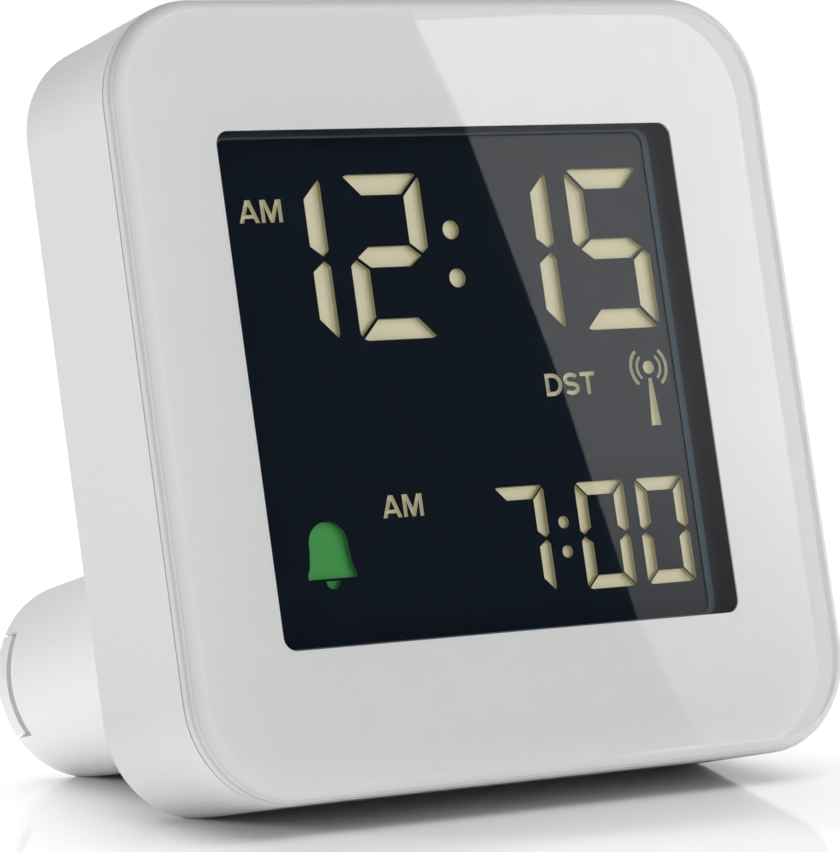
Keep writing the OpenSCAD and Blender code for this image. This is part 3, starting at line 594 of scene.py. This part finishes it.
# Behind the dark layer lies the reflector, and between them the bell's green filter
film_gap = 0.01
film_back = -GLASS_FRONT - GLASS_DARK
filter_half, filter_low, filter_high = 3.4, -18.5, -10.8
slab(
    bm, -GLASS_W / 2, GLASS_W / 2, WINDOW_Y - GLASS_H / 2, WINDOW_Y + GLASS_H / 2,
    -GLASS_FRONT - GLASS_DEPTH, film_back - 2 * film_gap, CREAM,
)
slab(
    bm, bell_x - filter_half, bell_x + filter_half, filter_low, filter_high,
    film_back - 1.5 * film_gap, film_back - 0.5 * film_gap, GREEN,
)
new_piece("display_glass", bm, FROM_FRONT, glass_layers, "clock_body", "lcd_glass", "lcd_panel")

# Light stack: a pearl reflector, a clear light guide with two lamps at its left end, and a rubber
# contact strip. They lie loose behind the glass and are pressed between it and the board.
finish(cream_film, "lcd_reflector")
# Clear acrylic printed with matt dots, which throw the lamps' light forwards.
dot_mm = 0.9
guide, tree = new_material("dotted_guide_acrylic")
place = add_node(tree, "ShaderNodeTexCoord").outputs["Object"]
dots = add_node(
    tree, "ShaderNodeTexVoronoi", {"Scale": 1000 / dot_mm, "Randomness": 0.2}, {"Vector": place}
)
print_edge = add_node(tree, "ShaderNodeMapRange", {1: 0.25, 2: 0.35}, {0: dots.outputs["Distance"]})
ends = {6: linear("#F1F3F2"), 7: linear("#D9E3E1")}
tone = add_node(tree, "ShaderNodeMix", ends, {0: print_edge}, data_type="RGBA")
matt = add_node(tree, "ShaderNodeMapRange", {3: 0.6, 4: 0.12}, {0: print_edge})
guide_shader = add_node(
    tree, "ShaderNodeBsdfPrincipled", {"IOR": 1.49, "Transmission Weight": 0.6},
    {"Base Color": tone.outputs[2], "Roughness": matt},
)
add_node(tree, "ShaderNodeOutputMaterial", None, {"Surface": guide_shader})
finish(guide, "light_guide")

# Yellowish phosphor resin, glossy as it was cast.
led_resin = moulded_plastic("yellow_led_resin", "#E6DFA8", "#DDD394", 0.2, 0.5, 0.002)
finish(led_resin, "backlight_leds")

# Layers of clear and carbon-filled silicone: pink with dark stripes. The real stripes, 0.1 mm
# apart, are drawn coarser so that they show. A wave texture's period is 0.314 over its scale.
stripe_mm = 0.5
strip_rubber, tree = new_material("striped_silicone")
place = add_node(tree, "ShaderNodeTexCoord").outputs["Object"]
stripes = add_node(
    tree, "ShaderNodeTexWave", {"Scale": 314 / stripe_mm, "Distortion": 0.3}, {"Vector": place}
)
ends = {6: linear("#2B2627"), 7: linear("#D9A09E")}
tone = add_node(tree, "ShaderNodeMix", ends, {0: stripes.outputs[1]}, data_type="RGBA")
rubber_shader = add_node(
    tree, "ShaderNodeBsdfPrincipled", {"Roughness": 0.55, "IOR": 1.41},
    {"Base Color": tone.outputs[2]},
)
add_node(tree, "ShaderNodeOutputMaterial", None, {"Surface": rubber_shader})
finish(strip_rubber, "zebra_strip")

# Main board: glass-fibre laminate under green solder mask, routed to shape and screwed to four
# posts. The copper under the mask shows as lighter lines in the green.
trace_mm, trace_rise_mm = 1.3, 0.03
board, tree = new_material("green_solder_mask")
place = add_node(tree, "ShaderNodeTexCoord").outputs["Object"]
flat = add_node(
    tree, "ShaderNodeMapping",
    {"Rotation": (LEAN - math.pi / 2, 0, 0), "Scale": (1000, 1000, 1000)}, {"Vector": place},
)
traces = add_node(
    tree, "ShaderNodeTexBrick",
    {
        "Color1": linear("#1E5A33"), "Color2": linear("#1A4F2D"), "Mortar": linear("#3B8A52"),
        "Scale": 1, "Mortar Size": 0.11, "Mortar Smooth": 0.2, "Brick Width": 7,
        "Row Height": trace_mm,
    },
    {"Vector": flat}, offset=0.37, squash=1.6,
)
raised = add_node(
    tree, "ShaderNodeBump", {"Distance": trace_rise_mm / 1000}, {"Height": traces.outputs[1]}
)
weave = add_node(tree, "ShaderNodeTexNoise", {"Scale": 900, "Detail": 2}, {"Vector": place})
matt = add_node(tree, "ShaderNodeMapRange", {3: 0.25, 4: 0.4}, {0: weave})
board_shader = add_node(
    tree, "ShaderNodeBsdfPrincipled", {"IOR": 1.5},
    {"Base Color": traces, "Roughness": matt, "Normal": raised},
)
add_node(tree, "ShaderNodeOutputMaterial", None, {"Surface": board_shader})
finish(board, "main_board")


def drawn_metal(name, colour, shade, roughness, line_mm):
    """Plated metal with the fine lines of drawing or stamping along x, which spread its gloss.
    The real lines are about 0.02 mm apart and are drawn coarser so that they show."""
    along_x = (0.12, 1, 1)
    gloss_spread = 0.08
    depth_mm = 0.002
    material, tree = new_material(name)
    place = add_node(tree, "ShaderNodeTexCoord").outputs["Object"]
    along = add_node(tree, "ShaderNodeMapping", {"Scale": along_x}, {"Vector": place})
    lines, tone = mottled(tree, line_mm, shade, colour, 3, place=along)
    gloss = add_node(
        tree, "ShaderNodeMapRange",
        {3: roughness - gloss_spread, 4: roughness + gloss_spread}, {0: lines},
    )
    bump = add_node(tree, "ShaderNodeBump", {"Distance": depth_mm / 1000}, {"Height": lines})
    metal = add_node(
        tree, "ShaderNodeBsdfPrincipled", {"Metallic": 1},
        {"Base Color": tone, "Roughness": gloss, "Normal": bump},
    )
    add_node(tree, "ShaderNodeOutputMaterial", None, {"Surface": metal})
    return material


# Zinc plate is bright and a little bluish, nickel plate warmer.
zinc_steel = drawn_metal("zinc_plated_steel", "#C3C5C8", "#A9ABAE", 0.3, 0.15)
nickel_steel = drawn_metal("nickel_plated_steel", "#CFC9BE", "#B8B2A6", 0.25, 0.15)
finish(zinc_steel, "board_screws")

# Chips, crystal and switches: soldered to the rear of the board. The chips are epoxy over a plated
# lead frame, with legs bent down to their pads; the crystal is a drawn can, and the switches are
# black nylon.
black_epoxy = moulded_plastic("black_epoxy", "#202022", "#1A1A1C", 0.6, 0.12, 0.004)
finish(black_epoxy, "clock_chip", "receiver_chip")
finish(nickel_steel, "quartz_crystal")
black_nylon = moulded_plastic("black_nylon", "#242427", "#1D1D20", 0.45, 0.3, 0.003)
finish(black_nylon, "tact_switches", "snooze_switch", "slide_switch", "switch_lever")


def shape_tree(name, sizes):
    """A Geometry Nodes tree with named sizes and a material as inputs, and their sockets."""
    tree = bpy.data.node_groups.new(name, "GeometryNodeTree")
    for size in sizes:
        kind = "NodeSocketInt" if size == "Count" else "NodeSocketFloat"
        tree.interface.new_socket(size, in_out="INPUT", socket_type=kind)
    tree.interface.new_socket("Material", in_out="INPUT", socket_type="NodeSocketMaterial")
    tree.interface.new_socket("Geometry", in_out="OUTPUT", socket_type="NodeSocketGeometry")
    return tree, add_node(tree, "NodeGroupInput").outputs


def end_tree(tree, sizes, geometry):
    """Ends a tree in plain geometry with its material."""
    real = add_node(tree, "GeometryNodeRealizeInstances", None, {0: geometry})
    dressed = add_node(
        tree, "GeometryNodeSetMaterial", None, {"Geometry": real, "Material": sizes["Material"]}
    )
    add_node(tree, "NodeGroupOutput", None, {0: dressed})


def swept_row(tree, sizes, path, section, axis):
    """Ends a tree in a section swept along a path, repeated in a row along an axis."""
    swept = add_node(tree, "GeometryNodeCurveToMesh", {"Fill Caps": True}, {0: path, 1: section})
    pitch = add_node(tree, "ShaderNodeCombineXYZ", None, {axis: sizes["Pitch"]})
    row = add_node(tree, "GeometryNodeMeshLine", None, {"Count": sizes["Count"], "Offset": pitch})
    repeated = add_node(
        tree, "GeometryNodeInstanceOnPoints", None, {"Points": row, "Instance": swept}
    )
    end_tree(tree, sizes, repeated)


def grow(bm, tree, values, place):
    """Adds what a tree makes with these sizes to a bmesh, in its place."""
    holder = bpy.data.objects.new(tree.name, bpy.data.meshes.new(tree.name))
    maker = holder.modifiers.new(tree.name, "NODES")
    maker.node_group = tree
    for item in tree.interface.items_tree:
        if item.in_out == "INPUT":
            maker[item.identifier] = values[item.name]
    add_made(bm, holder, place)


# One side's legs: a flat strip along a bent path, repeated along y
toe_rise, strip_t = 0.1, 0.14
leg_tree, sizes = shape_tree("chip_legs", ("Count", "Pitch", "Reach", "Rise", "Width"))
half_reach = add_node(
    leg_tree, "ShaderNodeMath", {1: 0.5}, {0: sizes["Reach"]}, operation="MULTIPLY"
)
bent = add_node(leg_tree, "GeometryNodeCurvePrimitiveBezierSegment", {"Resolution": 8})
for socket, values, links in (
    ("Start", None, {2: sizes["Rise"]}),
    ("Start Handle", None, {0: half_reach, 2: sizes["Rise"]}),
    ("End Handle", {2: toe_rise}, {0: half_reach}),
    ("End", {2: toe_rise}, {0: sizes["Reach"]}),
):
    point = add_node(leg_tree, "ShaderNodeCombineXYZ", values, links)
    leg_tree.links.new(point.outputs[0], bent.inputs[socket])
strip = add_node(
    leg_tree, "GeometryNodeCurvePrimitiveQuadrilateral", {"Height": strip_t},
    {"Width": sizes["Width"]},
)
swept_row(leg_tree, sizes, bent, strip, 1)

BOARD_BACK = 10.55
root = 0.05
leg_sizes = {"Pitch": 0.8, "Reach": 1, "Rise": 0.7, "Width": 0.3, "Material": nickel_steel}
bm = bmesh.new()
# The middle and half width of the clock chip and the receiver chip, and the legs on a side
for middle_x, middle_y, half, count in ((4, -11, 5, 11), (-14, -16, 2.5, 5)):
    first_leg = Matrix.Translation((half - root, -(count - 1) * leg_sizes["Pitch"] / 2, 0))
    for side in range(4):
        place = (
            Matrix.Translation((middle_x, middle_y, -BOARD_BACK))
            @ Matrix.Rotation(math.pi, 4, "X") @ Matrix.Rotation(side * math.pi / 2, 4, "Z")
            @ first_leg
        )
        grow(bm, leg_tree, {**leg_sizes, "Count": count}, place)
new_piece("chip_legs", bm, FROM_FRONT, [nickel_steel], "clock_body", "plated_steel")

# Buzzer: a ceramic disc on brass in a black moulded cup, heat-staked behind the sound holes.
# Two covered wires join it to the board.
finish(frame_abs, "buzzer_case")
finish(drawn_metal("rolled_brass", "#D2AE5E", "#B8923F", 0.28, 0.2), "piezo_disc")
red_cover = moulded_plastic("red_wire_cover", "#A3221C", "#8E1B16", 0.4, 0.5, 0.002)
finish(red_cover, "buzzer_leads", "power_leads")

# Receiver antenna: a sintered ferrite rod in two nylon clips, with a winding of enamelled copper
# wire. The real wire is about 0.1 mm thick and is drawn coarser so that its turns show.
ferrite = moulded_plastic("sintered_ferrite", "#3A3B3E", "#2F3033", 0.5, 0.25, 0.006)
finish(ferrite, "ferrite_rod")
natural_nylon = moulded_plastic("natural_nylon", "#DCD6C4", "#D3CCB8", 0.4, 0.4, 0.002)
finish(natural_nylon, "antenna_clips")
enamelled_copper = drawn_metal("enamelled_copper", "#B4622F", "#9A4E22", 0.22, 0.1)
finish(enamelled_copper, "antenna_leads")

spiral_sizes = ("Rotations", "Start Radius", "End Radius", "Height")
coil_tree, sizes = shape_tree("wire_coil", (*spiral_sizes, "Wire Radius"))
spiral = add_node(
    coil_tree, "GeometryNodeCurveSpiral", {"Resolution": 32},
    {name: sizes[name] for name in spiral_sizes},
)
section = add_node(
    coil_tree, "GeometryNodeCurvePrimitiveCircle", {"Resolution": 8},
    {"Radius": sizes["Wire Radius"]},
)
wound = add_node(coil_tree, "GeometryNodeCurveToMesh", {"Fill Caps": True}, {0: spiral, 1: section})
smooth = add_node(coil_tree, "GeometryNodeSetShadeSmooth", None, {0: wound})
end_tree(coil_tree, sizes, smooth)


def lathe(bm, profile, place, steps=48):
    """Turns a profile of radius, height and the material up to there round z, with closed ends."""
    turns = [2 * math.pi * i / steps for i in range(steps)]
    rings = []
    for r, z, _ in profile:
        around = [Vector((r * math.cos(a), r * math.sin(a), z)) for a in turns]
        rings.append([bm.verts.new(place @ point) for point in around])
    for lower, upper, (_, _, material) in zip(rings, rings[1:], profile[1:]):
        bridge(bm, lower, upper, material=material)
    bm.faces.new(rings[0]).material_index = profile[0][2]
    bm.faces.new(rings[-1]).material_index = profile[-1][2]


ROD_Y, ROD_DEPTH, WINDING = -31, 10.55, 18
wire_r = 0.17
turn_pitch = 0.36
winding_r = 3.02
tape_inner, tape_outer = 2.6, 2.83
along_rod = (
    Matrix.Translation((-WINDING / 2, ROD_Y, -ROD_DEPTH)) @ Matrix.Rotation(math.pi / 2, 4, "Y")
)
bm = bmesh.new()
winding_sizes = {
    "Rotations": (WINDING - 2 * wire_r) / turn_pitch, "Start Radius": winding_r,
    "End Radius": winding_r, "Height": WINDING - 2 * wire_r, "Wire Radius": wire_r,
    "Material": enamelled_copper,
}
grow(bm, coil_tree, winding_sizes, along_rod @ Matrix.Translation((0, 0, wire_r)))
tape_profile = (
    (tape_inner, 0, 1), (tape_outer, 0, 1), (tape_outer, WINDING, 1), (tape_inner, WINDING, 1)
)
lathe(bm, tape_profile, along_rod)
paper_tape = moulded_plastic("kraft_paper_tape", "#B89A6A", "#A98A5A", 0.7, 0.4, 0.004)
new_piece(
    "antenna_winding", bm, FROM_FRONT, [enamelled_copper, paper_tape],
    "clock_body", "copper_wire", "antenna_coil",
)

# Keys and alarm knob: white ABS caps on flanges, trapped between the cover and their switches.
# The plus and minus are moulded on their caps, and the knob has ribs for the finger.
key_abs = moulded_plastic("satin_key_abs", "#E4E4E3", "#DFDFDE", 0.42, 0.3, 0.003)
finish(key_abs, "minus_button", "plus_button", "wave_button", "time_button", "alarm_button")
finish(key_abs, "alarm_knob")


def prism(bm, outline, z0, z1, edge):
    """A flat shape between two heights, its upper edge drawn in a little towards its middle."""
    middle = sum((Vector(p) for p in outline), Vector((0, 0))) / len(outline)
    inner = [Vector(p) + (middle - Vector(p)).normalized() * edge for p in outline]
    rings = [
        [bm.verts.new((x, y, z)) for x, y in points]
        for points, z in ((outline, z0), (outline, z1 - edge), (inner, z1))
    ]
    for lower, upper in zip(rings, rings[1:]):
        bridge(bm, lower, upper, smooth=False)
    bm.faces.new(rings[0])
    bm.faces.new(rings[-1])


KEY_Y, KEY_TOP, KEY_PITCH = 17, 18.4, 12
mark_half, mark_line = 1.25, 0.26
mark_root, mark_height, mark_edge = 0.05, 0.2, 0.06
minus_sign = [(sx * mark_half, sy * mark_line) for sx, sy in CORNERS]
arm = [(mark_half, -mark_line), (mark_half, mark_line), (mark_line, mark_line)]
plus_sign = []
for _ in range(4):
    plus_sign += arm
    arm = [(-y, x) for x, y in arm]
for name, sign, across, body in (
    ("minus_mark", minus_sign, 2 * KEY_PITCH, "minus_key"),
    ("plus_mark", plus_sign, KEY_PITCH, "plus_key"),
):
    bm = bmesh.new()
    outline = [(across + x, KEY_Y + y) for x, y in sign]
    prism(bm, outline, KEY_TOP - mark_root, KEY_TOP + mark_height, mark_edge)
    new_piece(name, bm, FROM_BEHIND, [key_abs], body, "key_abs")

# The knob's ribs: round bars along y, repeated along x
rib_tree, sizes = shape_tree("knob_ribs", ("Count", "Pitch", "Length", "Radius"))
far_end = add_node(rib_tree, "ShaderNodeCombineXYZ", None, {1: sizes["Length"]})
spine = add_node(rib_tree, "GeometryNodeCurvePrimitiveLine", None, {"End": far_end})
section = add_node(
    rib_tree, "GeometryNodeCurvePrimitiveCircle", {"Resolution": 12}, {"Radius": sizes["Radius"]}
)
swept_row(rib_tree, sizes, spine, section, 0)
KNOB_X, KNOB_Y, KNOB_TOP = -13.5, 3, 18.3
rib_count, rib_pitch, rib_length, rib_sunk = 5, 0.85, 2.3, 0.04
rib_sizes = {
    "Count": rib_count, "Pitch": rib_pitch, "Length": rib_length, "Radius": 0.2,
    "Material": key_abs,
}
first_rib = (
    KNOB_X - (rib_count - 1) * rib_pitch / 2, KNOB_Y - rib_length / 2, KNOB_TOP - rib_sunk
)
bm = bmesh.new()
grow(bm, rib_tree, rib_sizes, Matrix.Translation(first_rib))
new_piece("knob_ribs", bm, FROM_BEHIND, [key_abs], "alarm_slider", "key_abs")

# Rear cover: white ABS with the battery barrel moulded on it, hooked in below and held by four
# screws. The words for the keys and the knob are pad printed on it in grey.
# The cover's mould is polished a little finer than the case's, and its white is set brighter.
cover_abs = moulded_plastic("fine_white_abs", "#F5F5F4", "#EEEEED", 0.45, 0.3, 0.006)
finish(cover_abs, "rear_cover")
finish(zinc_steel, "case_screws")
# Thin ink over the mould's grain is matt and a little speckled.
speck_mm = 0.5
matt = {"Roughness": 0.5, "IOR": 1.5}
grey_ink = plain_film("pad_printed_grey_ink", speck_mm, "#8A8C8E", "#7F8183", matt, "Base Color")

COVER_BACK = 17.5
print_t = 0.03
cap_mm = 1.5
cap_share = 0.7
words_y = 11.4
bm = bmesh.new()
for text, across, up in (
    ("ALARM", -2 * KEY_PITCH, words_y), ("TIME", -KEY_PITCH, words_y), ("WAVE", 0, words_y),
    ("ON", -8.7, KNOB_Y), ("OFF", -21.6, KNOB_Y),
):
    written = bpy.data.curves.new(text, "FONT")
    written.body = text
    written.align_x = written.align_y = "CENTER"
    written.size = cap_mm / cap_share
    written.extrude = print_t / 2
    place = Matrix.Translation((across, up, COVER_BACK + print_t / 2))
    add_made(bm, bpy.data.objects.new(text, written), place)
new_piece("cover_words", bm, FROM_BEHIND, [grey_ink], "clock_body", "mask_print")

# Battery bay: two AAA cells in plain printed jackets, between nickel-plated plates and conical
# wire springs. The plates slide into slots of the cover and their tails reach the board.
finish(nickel_steel, "battery_plates")
BARREL_Y = -20.795
spring_wire_r = 0.25
spring_foot, cell_foot = -23.975, -20.55
spring_sizes = {
    "Rotations": 4.5, "Start Radius": 3.15, "End Radius": 2.15, "Height": 2.9,
    "Wire Radius": spring_wire_r, "Material": nickel_steel,
}
# Printed film round a cell is smooth and glossy.
jacket = moulded_plastic("printed_cell_jacket", "#39584A", "#2F4B3E", 0.28, 0.6, 0.001)
pale_band = moulded_plastic("printed_cell_band", "#C9CCCB", "#BFC2C1", 0.28, 0.6, 0.001)
cell_skins = [jacket, pale_band, nickel_steel]
JACKET, BAND, STEEL = range(len(cell_skins))
# Radius and height from the flat end, and what a cell shows up to there
cell_profile = (
    (4.2, 0.15, STEEL), (4.4, 0, STEEL), (4.85, 0, STEEL), (5.05, 0.3, STEEL),
    (5.25, 0.45, JACKET), (5.25, 31, JACKET), (5.25, 42.4, BAND), (5.1, 42.75, BAND),
    (4.7, 42.95, BAND), (4.5, 42.75, STEEL), (2.3, 42.75, STEEL), (2.1, 43.3, STEEL),
    (1.9, 43.3, STEEL), (1.9, 44.3, STEEL), (1.7, 44.5, STEEL),
)
springs, cells = bmesh.new(), bmesh.new()
for towards, depth in ((1, 23.82), (-1, 35.38)):
    axis = (
        Matrix.Translation((0, BARREL_Y, -depth))
        @ Matrix.Rotation(towards * math.pi / 2, 4, "Y")
    )
    spring_place = axis @ Matrix.Translation((0, 0, spring_foot + spring_wire_r))
    grow(springs, coil_tree, spring_sizes, spring_place)
    lathe(cells, cell_profile, axis @ Matrix.Translation((0, 0, cell_foot)))
new_piece(
    "coil_springs", springs, FROM_FRONT, [nickel_steel],
    "clock_body", "plated_steel", "battery_springs",
)
new_piece(
    "dressed_cells", cells, FROM_FRONT, cell_skins, "clock_body", "cell_jacket", "battery_cells"
)

# Battery door: a plate of white ABS that closes the barrel's mouth, with a finger tab in the notch
# at its left. It snaps in and lifts straight out.
finish(cover_abs, "battery_door")

# Snooze bar: a long bar of white ABS in the top wall, moulded with polished round edges.
# It stands over its own switch.
finish(key_abs, "snooze_bar")

# Studio: a white acrylic floor in a white room, with softboxes at the left, in front and behind.
# It stands apart from the clock, so all of it is stage.
scene = bpy.context.scene
scene.view_settings.view_transform = "Standard"
camera = bpy.data.objects.new("camera", bpy.data.cameras.new("camera"))
camera.data.sensor_fit = "HORIZONTAL"
camera.data.sensor_width = 36
camera.data.lens = 213.64
camera.data.clip_start = 0.01
camera.location = (-0.27051, -0.39935, 0.07727)
camera.rotation_euler = (math.radians(84.95), 0, math.radians(-34.3))
scene.collection.objects.link(camera)
scene.camera = camera

# The room shows as plain white. As a light it is weaker, most of all from overhead.
AMBIENT = 0.41
OVERHEAD = 0.19
world = bpy.data.worlds.new("white_studio")
scene.world = world
world.use_nodes = True
tree = world.node_tree
tree.nodes.clear()
path = add_node(tree, "ShaderNodeLightPath")
seen = path.outputs["Is Camera Ray"]
for other in ("Is Glossy Ray", "Is Transmission Ray"):
    both = {0: seen, 1: path.outputs[other]}
    seen = add_node(tree, "ShaderNodeMath", None, both, operation="MAXIMUM")
# Light that has bounced off a matt surface is worth the ambient alone.
fresh = add_node(
    tree, "ShaderNodeMath", {1: 0.5}, {0: path.outputs["Diffuse Depth"]}, operation="LESS_THAN"
)
shown = add_node(tree, "ShaderNodeMath", None, {0: seen, 1: fresh}, operation="MULTIPLY")
toward = add_node(tree, "ShaderNodeTexCoord").outputs["Generated"]
height = add_node(tree, "ShaderNodeSeparateXYZ", None, {0: toward})
dome = add_node(
    tree, "ShaderNodeMapRange", {1: 0, 2: 0.9, 3: AMBIENT, 4: OVERHEAD}, {0: height.outputs[2]}
)
level = add_node(tree, "ShaderNodeMapRange", {4: 1}, {0: shown, 3: dome})
sky = add_node(tree, "ShaderNodeBackground", {"Color": linear("#FFFFFF")}, {"Strength": level})
add_node(tree, "ShaderNodeOutputWorld", None, {"Surface": sky})

# Floor: a sheet of white acrylic, polished under the clock, which it mirrors softly, and frosted
# round it.
polished_radius, frosted_radius = 0.09, 0.15
floor_reach = 6
floor_acrylic, tree = new_material("white_acrylic_floor")
place = add_node(tree, "ShaderNodeTexCoord").outputs["Object"]
haze = add_node(tree, "ShaderNodeTexNoise", {"Scale": 30, "Detail": 2}, {"Vector": place})
matt = add_node(tree, "ShaderNodeMapRange", {3: 0.05, 4: 0.09}, {0: haze})
from_clock = add_node(tree, "ShaderNodeVectorMath", None, {0: place}, operation="LENGTH")
frost = add_node(
    tree, "ShaderNodeMapRange", {1: polished_radius, 2: frosted_radius, 3: 0, 4: 0.6},
    {0: from_clock.outputs["Value"]},
)
rough = add_node(tree, "ShaderNodeMath", None, {0: matt, 1: frost}, operation="ADD")
floor_shader = add_node(
    tree, "ShaderNodeBsdfPrincipled", {"Base Color": linear("#F4F4F5"), "IOR": 1.2},
    {"Roughness": rough},
)
add_node(tree, "ShaderNodeOutputMaterial", None, {"Surface": floor_shader})
bm = bmesh.new()
bm.faces.new([bm.verts.new((sx * floor_reach, sy * floor_reach, 0)) for sx, sy in CORNERS])
floor = new_object("studio_floor", bm, [floor_acrylic])

# The floor's own light comes from above, and a low one from behind on the left opens the barrel's
# shadow. Neither lights anything else.
floor_only = bpy.data.collections.new("floor_only")
floor_only.objects.link(floor)
for name, travel, energy, spread in (
    ("floor_light", (-0.08, -0.17, -0.98), 3, 90),
    ("floor_fill", (0.87, -0.44, -0.23), 1.3, 12),
):
    sun = bpy.data.lights.new(name, "SUN")
    sun.energy = energy
    sun.angle = math.radians(spread)
    light = bpy.data.objects.new(name, sun)
    light.rotation_euler = Vector(travel).to_track_quat("-Z", "Y").to_euler()
    light.visible_glossy = False
    light.light_linking.receiver_collection = floor_only
    scene.collection.objects.link(light)

# The three softboxes light the clock and leave the floor alone.
clock_only = bpy.data.collections.new("clock_only")
clock_only.objects.link(floor)
clock_only.collection_objects[0].light_linking.link_state = "EXCLUDE"
clock_middle = Vector((0, 0, 0.04))
for name, spot, size, power in (
    ("left_softbox", (-1.0, -0.1, 0.13), (0.7, 0.25), 2.1),
    ("front_softbox", (0.45, -0.7, 0.42), (0.6, 0.5), 4.3),
    ("rear_softbox", (0.25, 1.0, 0.25), (0.7, 0.5), 2.6),
):
    lamp = bpy.data.lights.new(name, "AREA")
    lamp.shape = "RECTANGLE"
    lamp.size, lamp.size_y = size
    lamp.energy = power
    light = bpy.data.objects.new(name, lamp)
    light.location = spot
    light.rotation_euler = (clock_middle - Vector(spot)).to_track_quat("-Z", "Y").to_euler()
    light.visible_glossy = False
    light.visible_transmission = False
    light.light_linking.receiver_collection = clock_only
    scene.collection.objects.link(light)

# Two cards show in reflections alone: a black flag, and in front of it a window light with a
# slanting edge. Both stand where the lens mirrors points of the face, given in mm, to the camera.
flag_distance, window_distance = 90, 80
uv_mm = 100
lens_out = (FROM_FRONT.to_3x3() @ Vector((0, 0, 1))).normalized()
lens_point = FROM_FRONT @ Vector((0, 0, 0))
twin = camera.location - 2 * (camera.location - lens_point).dot(lens_out) * lens_out


def mirrored(x, y, distance):
    """Where the lens shows the camera a point of its front, at a distance."""
    return twin + ((FROM_FRONT @ Vector((x, y, 0))) - twin).normalized() * distance


def card(name, rows, distance, material):
    """A card for reflections alone, from rows of points on the face, which its UV map keeps."""
    bm = bmesh.new()
    layer = bm.loops.layers.uv.new("UVMap")
    grid = [[(bm.verts.new(mirrored(x, y, distance)), (x, y)) for x, y in row] for row in rows]
    for low, high in zip(grid, grid[1:]):
        for corners in zip(low, low[1:], high[1:], high):
            face = bm.faces.new([vert for vert, _ in corners])
            for loop, (_, (x, y)) in zip(face.loops, corners):
                loop[layer].uv = (x / uv_mm, y / uv_mm)
    hung = new_object(name, bm, [material])
    for kind in ("camera", "diffuse", "volume_scatter", "shadow"):
        setattr(hung, "visible_" + kind, False)


flag_half = 90
flag, tree = new_material("black_velvet_flag")
velvet = add_node(tree, "ShaderNodeEmission", {"Color": linear("#000000"), "Strength": 0})
add_node(tree, "ShaderNodeOutputMaterial", None, {"Surface": velvet})
flag_rows = [[(x, y) for x in (-flag_half, flag_half)] for y in (-flag_half, flag_half)]
card("studio_flag", flag_rows, flag_distance, flag)

# The window light fades towards its foot.
fade_low, fade_high = -36, -5
window_right = 60
glow, tree = new_material("window_light")
spot_uv = add_node(tree, "ShaderNodeUVMap", uv_map="UVMap")
across = add_node(tree, "ShaderNodeSeparateXYZ", None, {0: spot_uv})
fade = add_node(
    tree, "ShaderNodeMapRange", {1: fade_low / uv_mm, 2: fade_high / uv_mm, 3: 0.5, 4: 2},
    {0: across.outputs[1]},
)
shine = add_node(tree, "ShaderNodeEmission", {"Color": linear("#FFFFFF")}, {"Strength": fade})
add_node(tree, "ShaderNodeOutputMaterial", None, {"Surface": shine})
window_edge = (
    (20, -40), (17.97, -35.62), (12.85, -24.11), (7.62, -0.09), (0.78, 24.73), (-4.06, 37.15),
    (-6, 42),
)
window_rows = [[(x, y), (window_right, y)] for x, y in window_edge]
card("studio_window_light", window_rows, window_distance, glow)
